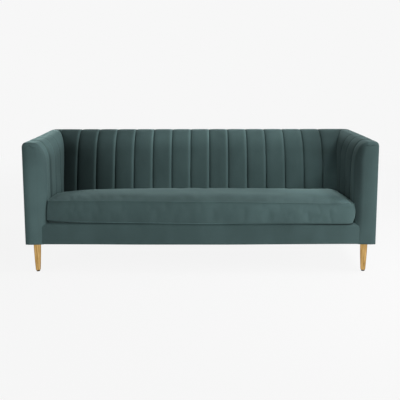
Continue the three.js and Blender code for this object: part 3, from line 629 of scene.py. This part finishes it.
def backSkin():
    # sections along the back: whole channels in the middle, and one at each end up to the mitre
    across = shares(channels["steps"])[1:]
    pitch = channels["backPitch"]
    x, fall, dip = [], [], []
    count = channels["backSeams"]
    for k in range(-count + 1, count):
        x.append((k - 0.5 + across) * pitch)
        fall.append(seamFall(across))
        dip.append(groove(across, pitch))
    x, fall, dip = (np.concatenate(v) for v in (x, fall, dip))
    y, z = backOutline(fall, dip)
    whole = np.stack([np.broadcast_to(x, y.shape), y, z], axis=-1)
    lastSeam = (count - 0.5) * pitch
    y, z = backOutline(seamFall(across), groove(across, pitch))
    endX = lastSeam + (mitreX[:, None] - lastSeam) * across[None, :]
    end = np.stack([endX, y, z], axis=-1)
    seamY, seamZ = backOutline(seamLine, seamLine * channels["groove"])
    first = np.stack([np.full_like(seamY, -lastSeam), seamY, seamZ], axis=-1)
    left = end[:, ::-1] * np.array([-1, 1, 1])
    sections = np.concatenate([left, first, whole, end], axis=1)
    push = waves(sections, 11, 0.21, 0.0018)
    facing = (isInner[:, None] & (sections[..., 2] < topZ - 0.03)).astype(float)
    sections[..., 1] += push * facing
    low = np.minimum(outlineUp[:-1], outlineUp[1:])
    stays = ~(isOuter[:-1] & (low < panelTop - 1e-6)) & ~(isInner[:-1] & (low < baseZ + 0.075))
    keep = np.broadcast_to(stays[:, None], (len(stays), sections.shape[1] - 1))
    made = buildMesh("channelled_back", [(roundCorner(sections), keep)], velvetCloth)
    turnOut(made, np.array([0, rearY - 0.05, 0.6]))
    leanSeams(made, lastSeam)
    thicken(made, skin["thickness"])
    return settle(made, "sofa_base", ["inside_back_pad"])


for side in (-1, 1):
    armSkin(side)
backSkin()
print("channelled arms and back made")


# Outside panels: velvet drawn flat over board, its edges turned in

panel = {"edge": 0.003, "swell": 0.0015, "across": 60, "up": 40}


def softPanel(name, low, high, axis, out, replaced):
    # A closed slab: its outer face rises from the edges as a quarter round and swells a little in the middle.
    other = [i for i in range(3) if i != axis]
    s = (1 - np.cos(np.linspace(0, np.pi, panel["across"] + 1))) / 2
    t = (1 - np.cos(np.linspace(0, np.pi, panel["up"] + 1))) / 2
    wide, tall = high[other[0]] - low[other[0]], high[other[1]] - low[other[1]]
    fromEdge = np.minimum.outer(np.minimum(s, 1 - s) * wide, np.full(len(t), np.inf))
    fromEdge = np.minimum(fromEdge, (np.minimum(t, 1 - t) * tall)[None, :])
    near = 1 - np.clip(fromEdge / panel["edge"], 0, 1)
    thick = high[axis] - low[axis]
    round_ = np.sqrt(np.maximum(1 - near ** 2, 0))
    swell = np.sin(np.pi * s)[:, None] * np.sin(np.pi * t)[None, :]
    height = (thick - panel["edge"]) * (near < 1) + panel["edge"] * round_ + panel["swell"] * swell
    sheets = []
    for rise in (height, np.zeros_like(height)):
        sheet = np.zeros((len(s), len(t), 3))
        sheet[..., other[0]] = low[other[0]] + wide * s[:, None]
        sheet[..., other[1]] = low[other[1]] + tall * t[None, :]
        sheet[..., axis] = (low[axis] + rise) if out > 0 else (high[axis] - rise)
        sheets.append((roundCorner(sheet), None))
    made = buildMesh(name, sheets, velvetCloth, sharp=70)
    return settle(made, "sofa_base", replaced)


for label, side in (("left", -1), ("right", 1)):
    node = "outside_arm_panel_" + label
    softPanel("velvet_arm_panel_" + label, *span(node), 0, side, [node])
softPanel("velvet_back_panel", *span("outside_back_panel"), 1, 1, ["outside_back_panel"])
print("outside panels made")


# Front rail cover: one padded profile along the rail, its ends following the arms' rounded edges

railCover = {"setback": 0.003, "topRadius": 0.024, "bottomRadius": 0.006, "depth": 0.049, "steps": 120,
             "lip": 0.026, "sag": 0.0035}


def makeRailCover():
    face = frontY + railCover["setback"]
    back = frontY + railCover["depth"]
    turn = np.linspace(0, np.pi / 2, 9)
    top, foot = railCover["topRadius"], railCover["bottomRadius"]
    upper = np.stack([face + top * (1 - np.sin(turn)), deckZ(face + top) - top * (1 - np.cos(turn))], axis=1)
    lower = np.stack([face + foot * (1 - np.cos(turn)), baseZ + foot * (1 - np.sin(turn))], axis=1)
    front = np.linspace(lower[0], upper[-1], 22)[1:-1]
    deckEdge = np.linspace([back, deckZ(back)], upper[0], 8)[:-1]
    lip = np.array([[frontY + railCover["lip"], baseZ]])
    inner = np.array([[frontY + railCover["lip"], baseZ + 0.1], [back, deckZ(back) - 0.014]])
    ring = np.concatenate([deckEdge, upper, front[::-1], lower, lip, inner, deckEdge[:1]])
    depth = np.maximum(ring[:, 0] - frontY, 0)
    curve = armFront["innerReach"] / armFront["innerRadius"]
    reach = armInner + curve * roundIn(armFront["innerRadius"], depth) + 0.0012
    across = np.linspace(-1, 1, railCover["steps"] + 1)
    sheet = np.zeros((len(across), len(ring), 3))
    sheet[..., 0] = across[:, None] * reach[None, :]
    sheet[..., 1] = ring[None, :, 0]
    sheet[..., 2] = ring[None, :, 1]
    onFace = np.exp(-((sheet[..., 1] - face) / 0.012) ** 2)
    sheet[..., 1] += waves(sheet * np.array([0.5, 1, 1]), 21, 0.2, 0.0016) * onFace
    low = np.clip(1 - (sheet[..., 2] - baseZ) / 0.06, 0, 1)
    sheet[..., 2] -= railCover["sag"] * (1 - across[:, None] ** 2) ** 2 * low
    middle = sheet.mean(axis=1, keepdims=True)
    caps = [np.stack([sheet[k], np.broadcast_to(middle[k], sheet[k].shape)]) for k in (0, -1)]
    made = buildMesh("front_rail_velvet", [(sheet, None)] + [(cap, None) for cap in caps], velvetCloth, sharp=60)
    return settle(made, "sofa_base", ["front_rail_cover"])


makeRailCover()
print("front rail cover made")


# Seat cushion: a boxed form, blown up a little by a cloth simulation with its two seams held

cushion = {
    "halfLength": 0.9185, "depth": 0.520, "setback": 0.009, "border": 0.120, "lift": 0.0006,
    "rim": 0.0055, "rimTop": 0.011, "cornerLift": 0.004, "crown": 0.0185,
    "drawFront": 0.002, "drawEnds": 0.003, "cornerBack": 0.006, "frontBulge": 0.007, "endBulge": 0.004,
    "rearBulge": 0.001, "stepsAcross": 150, "stepsAlong": 46, "stepsUp": 12,
    "seamHeight": 0.0028, "pressure": 3.0, "frames": 18, "cap": 0.010,
}
# The two ends aren't alike: the left one is plump in the middle and low at the rear, the right one flatter.
cushionEnds = {
    "left": {"ear": 0.003, "sharp": 7.2, "end": 0.011, "lean": 0.95, "rear": 0.032, "power": 1.87, "dome": -0.06},
    "right": {"ear": 0.013, "sharp": 40.0, "end": -0.001, "lean": 0.0, "rear": 0.005, "power": 1.8, "dome": 0.2},
}

# The front, along the cushion: its top seam's rise, its lower seam's drop over the rail's edge and its reach forward
cushionFront = {
    "place": (-1, -0.85, -0.5, 0, 0.5, 0.85, 1),
    "rise": (0.0025, 0.004, 0.002, -0.004, -0.0105, -0.0155, -0.014),
    "drop": (-0.006, -0.002, 0.0025, 0.0092, 0.0105, 0.0135, 0.0155),
    "reach": (0.001, 0.003, 0.006, 0.0065, 0.006, 0.006, 0.008),
    "tuck": (0.006, 0, 0, 0, 0, 0, 0.017),
}


def endValue(across, key):
    return np.where(across > 0, cushionEnds["right"][key], cushionEnds["left"][key])


def cushionPlan(across, along):
    # the rectangle, its front drawn in between the corners, the corners set back a little and out as ears
    nearFront = np.maximum(-along, 0)
    nearEnd = np.abs(across) ** 8
    ear = endValue(across, "ear") * nearFront ** 20 * nearEnd
    drawn = cushion["drawEnds"] * (1 - along ** 2) * np.abs(across) ** 3
    x = across * (cushion["halfLength"] + ear) - np.sign(across) * drawn
    drawIn = cushion["drawFront"] * (1 - nearEnd) + cushion["cornerBack"] * np.abs(across) ** 36
    return x, along * cushion["depth"] / 2 + drawIn * nearFront ** 8


def frontValue(across, key):
    return np.interp(across, cushionFront["place"], cushionFront[key])


def cushionTop(across, along):
    # border height, plus a crown that fades to the edges and the front's rise, less the rear corners' drop
    side = np.abs(across)
    rear, front = np.maximum(along, 0), np.maximum(-along, 0)
    crown = cushion["crown"] * (1 - endValue(across, "dome") * side ** 2)
    fade = np.maximum(1 - side ** endValue(across, "sharp"), 0) * np.maximum(1 - along ** 4, 0) ** 0.6
    ends = endValue(across, "end") * side ** 8 * (1 - along ** 2) * (1 - endValue(across, "lean") * along)
    drop = endValue(across, "rear") * side ** endValue(across, "power") * rear ** 2
    rise = frontValue(across, "rise") * front ** 3
    return cushion["rimTop"] + cushion["border"] + crown * fade + ends - drop + rise


def cushionBottom(across, along):
    # flat on the deck, lifting to its rim and front corners, and dropping over the rail's rounded edge
    front = np.maximum(-along, 0)
    lift = cushion["cornerLift"] * np.abs(across) ** 30 * front ** 8
    drop = frontValue(across, "drop") * front ** 60
    return cushion["rim"] * (1 - (1 - across ** 8) * (1 - along ** 8)) + lift - drop


def cushionSheets():
    # two faces over the same plan, and a border strip that bulges between its seams
    spread = lambda steps: np.sin(np.pi / 2 * np.linspace(-1, 1, steps + 1))
    across, along = np.meshgrid(spread(cushion["stepsAcross"]), spread(cushion["stepsAlong"]), indexing="ij")
    x, y = cushionPlan(across, along)
    top = np.stack([x, y, cushionTop(across, along)], axis=-1)
    nearLip = np.maximum(-along, 0) ** 14
    tuck = frontValue(across, "tuck") * nearLip
    low = [x - tuck, y - frontValue(across, "reach") * nearLip]
    bottom = np.stack(low + [cushionBottom(across, along)], axis=-1)
    loop = lambda s: np.concatenate([s[:-1, 0], s[-1, :-1], s[:0:-1, -1], s[0, ::-1]])
    lower, upper = loop(bottom), loop(top)
    ahead = np.roll(lower[:-1], -1, axis=0) - np.roll(lower[:-1], 1, axis=0)
    ahead = np.concatenate([ahead, ahead[:1]])
    out = np.stack([ahead[:, 1], -ahead[:, 0], np.zeros(len(ahead))], axis=1)
    out /= np.linalg.norm(out, axis=1, keepdims=True)
    reach = cushion["frontBulge"] * np.maximum(-out[:, 1], 0) ** 2 + cushion["endBulge"] * out[:, 0] ** 2
    reach += cushion["rearBulge"] * np.maximum(out[:, 1], 0) ** 2
    share = np.linspace(0, 1, cushion["stepsUp"] + 1)[:, None, None]
    border = lower[None] + (upper - lower)[None] * share + out[None] * reach[None, :, None] * np.sin(np.pi * share)
    # the lower corners are tucked in as a curve, not along a straight slope
    border[..., 0] += loop(tuck)[None] * (1 - share[..., 0] - (1 - share[..., 0]) ** 3)
    return top, bottom, border


def laidOnDeck(points):
    # from the cushion's own frame to the sofa's: turned by the deck's slope about X, then moved
    middleY = frontY + cushion["setback"] + cushion["depth"] / 2
    c, s = math.cos(cushionTilt), math.sin(cushionTilt)
    turned = np.stack([points[..., 0], points[..., 1] * c - points[..., 2] * s,
                       points[..., 1] * s + points[..., 2] * c], axis=-1)
    return turned + np.array([0, middleY, deckZ(middleY) + cushion["lift"]])


def blowUp(made, held):
    # cloth simulation under light pressure with the seams held; the displacement is capped
    mesh = made.data
    count = len(mesh.vertices)
    start = np.zeros(count * 3)
    mesh.vertices.foreach_get("co", start)
    start = start.reshape(-1, 3)
    group = made.vertex_groups.new(name="seams")
    group.add([int(i) for i in held], 1.0, "REPLACE")
    sim = made.modifiers.new("cloth", "CLOTH")
    settings = sim.settings
    settings.quality = 6
    settings.mass = 0.4
    settings.tension_stiffness = settings.compression_stiffness = 25
    settings.shear_stiffness = 8
    settings.bending_stiffness = 3
    settings.use_pressure = True
    settings.uniform_pressure_force = cushion["pressure"]
    settings.shrink_min = -0.004
    settings.vertex_group_mass = "seams"
    settings.pin_stiffness = 1
    settings.effector_weights.gravity = 0
    sim.collision_settings.use_collision = False
    sim.point_cache.frame_start, sim.point_cache.frame_end = 1, cushion["frames"]
    for number in range(1, cushion["frames"] + 1):
        bpy.context.scene.frame_set(number)
    graph = bpy.context.evaluated_depsgraph_get()
    blown = made.evaluated_get(graph).to_mesh()
    end = np.zeros(count * 3)
    blown.vertices.foreach_get("co", end)
    made.modifiers.remove(sim)
    made.vertex_groups.remove(group)
    bpy.context.scene.frame_set(1)
    move = end.reshape(-1, 3) - start
    length = np.maximum(np.linalg.norm(move, axis=1, keepdims=True), 1e-9)
    print("cushion blown up by at most", round(float(length.max()) * 1000, 1), "mm")
    capped = move * np.tanh(length / cushion["cap"]) * cushion["cap"] / length
    mesh.vertices.foreach_set("co", (start + capped).ravel())
    mesh.update()


def makeCushion():
    top, bottom, border = cushionSheets()
    made = buildMesh("bench_cushion", [(top, None), (bottom, None), (border, None)], velvetCloth)
    mesh = made.data
    co = np.zeros(len(mesh.vertices) * 3)
    mesh.vertices.foreach_get("co", co)
    co = co.reshape(-1, 3)
    seams = np.concatenate([border[0], border[-1]])
    keys = {tuple(np.round(p, 5)) for p in seams}
    held = [i for i, p in enumerate(np.round(co, 5)) if tuple(p) in keys]
    blowUp(made, held)
    moved = np.zeros(len(mesh.vertices) * 3)
    mesh.vertices.foreach_get("co", moved)
    moved = moved.reshape(-1, 3)
    moved[:, 2] += waves(moved, 31, 0.25, 0.0012) * (moved[:, 2] > cushion["border"])
    mesh.vertices.foreach_set("co", laidOnDeck(moved).ravel())
    mesh.update()
    paintShading(made)
    soften = made.modifiers.new("soften", "SUBSURF")
    soften.levels = soften.render_levels = 1
    settle(made, "seat_cushion", ["cushion_cover", "cushion_core"])
    return border


def makeSeams(border):
    # the two seams: the cloth's turned edge stands up as a thin rounded lip all round, top and bottom
    for name, line, lean in (("cushion_top_seam", border[-1], 1), ("cushion_bottom_seam", border[0], -1)):
        ring = line[:-1]
        ahead = np.roll(ring, -1, axis=0) - np.roll(ring, 1, axis=0)
        ahead /= np.linalg.norm(ahead, axis=1, keepdims=True)
        out = np.stack([ahead[:, 1], -ahead[:, 0], np.zeros(len(ring))], axis=1)
        out /= np.linalg.norm(out, axis=1, keepdims=True)
        up = np.array([0, 0, 1.0])
        turn = np.linspace(0, 2 * np.pi, 11)
        wide, tall = cushion["seamHeight"], cushion["seamHeight"] * 0.7
        tube = (ring[None] + out[None] * (np.cos(turn) * wide + wide * 0.2)[:, None, None]
                + up * (np.sin(turn) * tall)[:, None, None])
        closed = np.concatenate([tube, tube[:, :1]], axis=1)
        made = buildMesh(name, [(laidOnDeck(closed), None)], velvetCloth)
        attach(made, "seat_cushion")


makeSeams(makeCushion())
print("cushion made")


# Zip along the rear of the cushion: its tape and a row of teeth

zipParts = {
    "halfLength": 0.7797, "rise": 0.062, "height": 0.0094, "tape": 0.0018, "pitch": 0.0022, "coil": 0.0021,
    "wire": 0.0004, "flat": 0.3, "steps": 14,
}


def makeZip():
    # the tape: one rounded section carried along, thinner under the coil; the coil: a flattened helix of wire
    backY, rise = cushion["depth"] / 2 - 0.0027, zipParts["rise"]
    turn = np.linspace(0, 2 * np.pi, 49)
    power = lambda v: np.sign(v) * np.abs(v) ** 0.35
    up = zipParts["height"] / 2 * power(np.cos(turn))
    out = zipParts["tape"] / 2 * (1 + power(np.sin(turn)))
    out -= 0.0006 * np.exp(-(up / 0.0022) ** 2) * (np.sin(turn) > 0)
    along = np.linspace(-zipParts["halfLength"], zipParts["halfLength"], 161)
    sheet = np.zeros((len(along), len(turn), 3))
    sheet[..., 0] = along[:, None]
    sheet[..., 1] = backY + out[None, :]
    sheet[..., 2] = rise + up[None, :]
    ends = [np.stack([sheet[k], np.broadcast_to(sheet[k].mean(axis=0), sheet[k].shape)]) for k in (0, -1)]
    parts = [(laidOnDeck(s), None) for s in [sheet] + ends]
    tape = buildMesh("zip_tape", parts, zipWoven, sharp=60)
    settle(tape, "seat_cushion", ["cushion_zip"])
    turns = int(2 * (zipParts["halfLength"] - 0.006) / zipParts["pitch"])
    angle = np.linspace(0, 2 * np.pi * turns, turns * zipParts["steps"] + 1)
    line = np.stack([(angle / (2 * np.pi * turns) - 0.5) * turns * zipParts["pitch"],
                     backY + zipParts["tape"] - 0.0004 + zipParts["coil"] * zipParts["flat"] * np.sin(angle),
                     rise + zipParts["coil"] * np.cos(angle)], axis=1)
    ring = np.linspace(0, 2 * np.pi, 7)
    away = np.stack([np.zeros_like(angle), np.sin(angle), np.cos(angle)], axis=1)
    tube = line[:, None] + zipParts["wire"] * (np.cos(ring)[None, :, None] * away[:, None]
                                               + np.sin(ring)[None, :, None] * np.array([1, 0, 0]))
    caps = [np.stack([tube[k], np.broadcast_to(tube[k].mean(axis=0), tube[k].shape)]) for k in (0, -1)]
    made = buildMesh("zip_coil", [(laidOnDeck(s), None) for s in [tube] + caps], glidePlastic)
    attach(made, "seat_cushion")


makeZip()
print("zip made")


# Legs and glides: profiles turned about an upright axis

leg = {"steps": 72, "topRadius": 0.022, "middleRadius": 0.0194, "middleZ": 0.101, "footRadius": 0.0145,
       "endRound": 0.005, "chamfer": 0.0008}
glide = {"radius": 0.011, "edge": 0.002, "spigot": 0.004}


def turned(name, profile, centre, material, slotName, replaced):
    # a profile of (radius, height) swept round the upright line through centre
    turn = np.linspace(0, 2 * np.pi, leg["steps"] + 1)
    radius, up = np.array(profile).T
    sheet = np.stack([centre[0] + radius[:, None] * np.cos(turn), centre[1] + radius[:, None] * np.sin(turn),
                      np.broadcast_to(up[:, None], (len(up), len(turn)))], axis=-1)
    made = buildMesh(name, [(sheet, None)], material, sharp=35)
    return settle(made, "sofa_base", replaced)


def makeLeg(corner):
    low, high = span("leg_" + corner)
    plateLow, _ = span("leg_plate_" + corner)
    _, glideHigh = span("glide_" + corner)
    centre = (low + high) / 2
    footZ, topLeg = low[2], plateLow[2] - 0.0003
    turn = np.linspace(np.pi / 2, 0, 9)
    foot = [(leg["footRadius"] - leg["endRound"] * (1 - np.cos(a)), footZ + leg["endRound"] * (1 - np.sin(a)))
            for a in turn]
    # a shallow curve through foot, middle and top
    heights = np.linspace(footZ + leg["endRound"], topLeg - leg["chamfer"], 24)
    knots = np.array([footZ + leg["endRound"], leg["middleZ"], topLeg])
    curve = np.polyfit(knots, [leg["footRadius"], leg["middleRadius"], leg["topRadius"]], 2)
    shaft = [(float(np.polyval(curve, z)), float(z)) for z in heights]
    profile = [(0, footZ)] + foot + shaft[1:] + [(leg["topRadius"] - leg["chamfer"], topLeg), (0, topLeg)]
    turned("turned_leg_" + corner, profile, centre, turnedBrass, "brushed_brass", ["leg_" + corner])
    r, e = glide["radius"], glide["edge"]
    bead = [(r - e + e * math.sin(a), e - e * math.cos(a)) for a in np.linspace(0, np.pi / 2, 7)]
    bead = [(0, 0)] + bead + [(r, footZ - 0.0003), (0, footZ - 0.0003)]
    turned("moulded_glide_" + corner, bead, centre, glidePlastic, "glide_plastic", ["glide_" + corner])


for corner in ("front_left", "front_right", "rear_left", "rear_right"):
    makeLeg(corner)
print("legs made")


# Seat deck and dust cover: cloths over and under the base

deckCloth = {"sag": 0.003, "across": 200, "along": 70, "thickness": 0.004}


def makeDeck():
    # the platform cloth sags a little between the springs, and rises to its stitched edges
    low, high = span("seat_deck")
    halfSpan = armInner + 0.006
    s = np.linspace(-1, 1, deckCloth["across"] + 1)
    t = np.linspace(0, 1, deckCloth["along"] + 1)
    x = np.broadcast_to(s[:, None] * halfSpan, (len(s), len(t)))
    y = np.broadcast_to(low[1] + 0.001 + (high[1] - low[1] - 0.001) * t[None, :], x.shape)
    between = 0.5 + 0.5 * np.cos(2 * np.pi * x / 0.1827)
    inside = (1 - np.abs(s[:, None]) ** 12) * np.sin(np.pi * np.clip(t[None, :], 0, 1)) ** 0.5
    z = deckZ(y) - 0.0015 - deckCloth["sag"] * between * inside
    made = buildMesh("seat_deck_cloth", [(np.stack([x, y, z], axis=-1), None)], platformCloth)
    turnOut(made, np.array([0, 0, 0]))
    thicken(made, deckCloth["thickness"])
    return settle(made, "sofa_base", ["seat_deck"])


def makeDustCover():
    # thin cloth stapled under the base, cut away at the legs, a little slack in the middle
    low, high = span("dust_cover")
    holes = [span("leg_plate_" + c) for c in ("front_left", "front_right", "rear_left", "rear_right")]
    cut = 0.0006
    x = np.unique(np.round(np.concatenate(
        [np.linspace(low[0], high[0], 90)] + [[h[0][0] - cut, h[1][0] + cut] for h in holes]), 6))
    y = np.unique(np.round(np.concatenate(
        [np.linspace(low[1], high[1], 40)] + [[h[0][1] - cut, h[1][1] + cut] for h in holes]), 6))
    gridX, gridY = np.meshgrid(x, y, indexing="ij")
    s = (gridX - low[0]) / (high[0] - low[0])
    t = (gridY - low[1]) / (high[1] - low[1])
    droop = 0.004 * np.maximum(np.sin(np.pi * s) * np.sin(np.pi * t), 0) ** 0.5
    wrinkle = 0.0006 * np.sin(2 * np.pi * gridX / 0.11 + 3 * np.sin(9 * gridY)) * np.sin(np.pi * s)
    z = high[2] - droop + wrinkle * np.sin(np.pi * t)
    middleX = (x[:-1] + x[1:])[:, None] / 2
    middleY = (y[:-1] + y[1:])[None, :] / 2
    keep = np.ones((len(x) - 1, len(y) - 1), bool)
    for h in holes:
        inX = (middleX > h[0][0] - cut) & (middleX < h[1][0] + cut)
        inY = (middleY > h[0][1] - cut) & (middleY < h[1][1] + cut)
        keep &= ~(inX & inY)
    made = buildMesh("dust_cover_cloth", [(np.stack([gridX, gridY, z], axis=-1), keep)], platformCloth)
    thicken(made, 0.0012)
    settle(made, "sofa_base", ["dust_cover"])


makeDeck()
makeDustCover()
print("deck and dust cover made")


# CAD nodes that stay get their finishes

finishes = {
    timberX: ["front_rail", "back_rail", "spring_rail", "back_top_rail"],
    timberY: ["side_rail_left", "side_rail_right", "arm_top_rail_left", "arm_top_rail_right", "seat_stretcher"],
    timberZ: ["front_post_left", "front_post_right", "rear_post_left", "rear_post_right", "back_upright_left",
              "back_upright_middle", "back_upright_right", "front_corner_block_left",
              "front_corner_block_right", "rear_corner_block_left", "rear_corner_block_right"],
    pressedBoard: ["arm_liner_left", "arm_liner_right"],
    springSteel: ["seat_spring_%d" % (i + 1) for i in range(10)],
    zincPlate: ["leg_plate_" + c for c in ("front_left", "front_right", "rear_left", "rear_right")],
    turnedBrass: ["zip_slider"],
}
for finish, names in finishes.items():
    for name in names:
        nodes[name].data.materials.clear()
        nodes[name].data.materials.append(finish)


# Floor, light and camera

studio = {
    "background": "#f7f7f7", "floorSize": 60.0, "shadowShare": 0.06, "shadowReach": 1.9, "shadowFade": 3.2,
    "floorLight": 0.75,
    "worldLight": 0.03,
}


def makeFloor():
    # pale floor: what it adds of its own light and the shadow that falls on it are mixed, and far out only the first
    s = np.linspace(-1, 1, 9) * studio["floorSize"] / 2
    gridX, gridY = np.meshgrid(s, s, indexing="ij")
    sheet = np.stack([gridX, gridY, np.zeros_like(gridX)], axis=-1)
    made, tree, shader, place = startMaterial("pale_studio_floor")
    shader.inputs["Base Color"].default_value = linear(studio["background"])
    shader.inputs["Roughness"].default_value = 1.0
    shader.inputs["Specular IOR Level"].default_value = 0.0
    glow = addNode(tree, "ShaderNodeEmission", {"Color": linear(studio["background"])})
    away = addNode(tree, "ShaderNodeVectorMath", {0: place}, operation="LENGTH")
    share = addNode(tree, "ShaderNodeMapRange",
                    {"Value": away.outputs["Value"], "From Min": studio["shadowReach"],
                     "From Max": studio["shadowReach"] + studio["shadowFade"],
                     "To Min": studio["shadowShare"], "To Max": 0.0}, interpolation_type="SMOOTHSTEP")
    # its own light makes up for what the lamps leave short of the background's level
    lift = (1 - studio["floorLight"]) / (1 - studio["shadowShare"])
    level = addNode(tree, "ShaderNodeMath", {0: share.outputs["Result"], 1: lift, 2: 1.0}, operation="MULTIPLY_ADD")
    tree.links.new(level.outputs[0], glow.inputs["Strength"])
    seen = addNode(tree, "ShaderNodeMixShader", {"Fac": share.outputs["Result"]})
    tree.links.new(glow.outputs[0], seen.inputs[1])
    tree.links.new(shader.outputs[0], seen.inputs[2])
    path = addNode(tree, "ShaderNodeLightPath")
    either = addNode(tree, "ShaderNodeMath", {0: path.outputs["Is Camera Ray"], 1: path.outputs["Is Glossy Ray"]},
                     operation="MAXIMUM")
    both = addNode(tree, "ShaderNodeMath", {0: either.outputs[0], 1: path.outputs["Is Transmission Ray"]},
                   operation="MAXIMUM")
    final = addNode(tree, "ShaderNodeMixShader", {"Fac": both.outputs[0]})
    tree.links.new(shader.outputs[0], final.inputs[1])
    tree.links.new(seen.outputs[0], final.inputs[2])
    out = [n for n in tree.nodes if n.type == "OUTPUT_MATERIAL"][0]
    tree.links.new(final.outputs[0], out.inputs["Surface"])
    floor = buildMesh("studio_floor", [(sheet, None)], made)


def makeWorld():
    world = bpy.data.worlds.new("studio")
    bpy.context.scene.world = world
    world.use_nodes = True
    tree = world.node_tree
    tree.nodes.clear()
    path = addNode(tree, "ShaderNodeLightPath")
    either = addNode(tree, "ShaderNodeMath", {0: path.outputs["Is Camera Ray"], 1: path.outputs["Is Glossy Ray"]},
                     operation="MAXIMUM")
    both = addNode(tree, "ShaderNodeMath", {0: either.outputs[0], 1: path.outputs["Is Transmission Ray"]},
                   operation="MAXIMUM")
    light = addNode(tree, "ShaderNodeBackground", {"Color": linear("#ffffff"), "Strength": studio["worldLight"]})
    seen = addNode(tree, "ShaderNodeBackground", {"Color": linear(studio["background"]), "Strength": 1.0})
    mixed = addNode(tree, "ShaderNodeMixShader", {"Fac": both.outputs[0]})
    tree.links.new(light.outputs[0], mixed.inputs[1])
    tree.links.new(seen.outputs[0], mixed.inputs[2])
    out = addNode(tree, "ShaderNodeOutputWorld")
    tree.links.new(mixed.outputs[0], out.inputs["Surface"])


def softbox(name, place, aim, size, power):
    lamp = bpy.data.lights.new(name, "AREA")
    lamp.shape = "RECTANGLE"
    lamp.size, lamp.size_y = size
    lamp.energy = power
    made = bpy.data.objects.new(name, lamp)
    bpy.context.scene.collection.objects.link(made)
    way = np.array(aim) - np.array(place)
    made.location = place
    made.rotation_euler = Vector(way).to_track_quat("-Z", "Y").to_euler()
    return made


makeFloor()
makeWorld()
middle = (0.0, 0.0, 0.45)
softbox("front_left_softbox", (-3.2, -3.6, 1.8), middle, (2.4, 2.0), 79)
softbox("right_low_softbox", (3.6, -1.2, 0.8), middle, (1.0, 1.0), 72)
softbox("right_high_softbox", (2.0, -0.6, 3.0), middle, (1.2, 1.2), 54)
softbox("rear_right_softbox", (3.0, 1.2, 3.0), middle, (1.6, 1.6), 16)
softbox("near_right_softbox", (1.8, -1.6, 1.8), middle, (0.8, 0.8), 13)
softbox("rear_low_softbox", (0.6, 3.6, 0.6), middle, (2.4, 0.6), 30)

photo = {"size": 400, "focal": 644.2, "axisX": 200.3, "axisY": 151.8, "pitch": 8.2, "roll": 0.07,
         "away": 3.777, "height": 1.292}
camera = bpy.data.cameras.new("photo_camera")
camera.sensor_width = 36.0
camera.lens = photo["focal"] / photo["size"] * camera.sensor_width
camera.shift_x = (photo["size"] / 2 - photo["axisX"]) / photo["size"]
camera.shift_y = (photo["axisY"] - photo["size"] / 2) / photo["size"]
camera.clip_start, camera.clip_end = 0.05, 200
cameraObject = bpy.data.objects.new("photo_camera", camera)
bpy.context.scene.collection.objects.link(cameraObject)
cameraObject.location = (0, frontY - photo["away"], photo["height"])
cameraObject.rotation_euler = (math.radians(90 - photo["pitch"]), math.radians(photo["roll"]), 0)
bpy.context.scene.camera = cameraObject
bpy.context.scene.view_settings.view_transform = "Standard"
print("studio made")
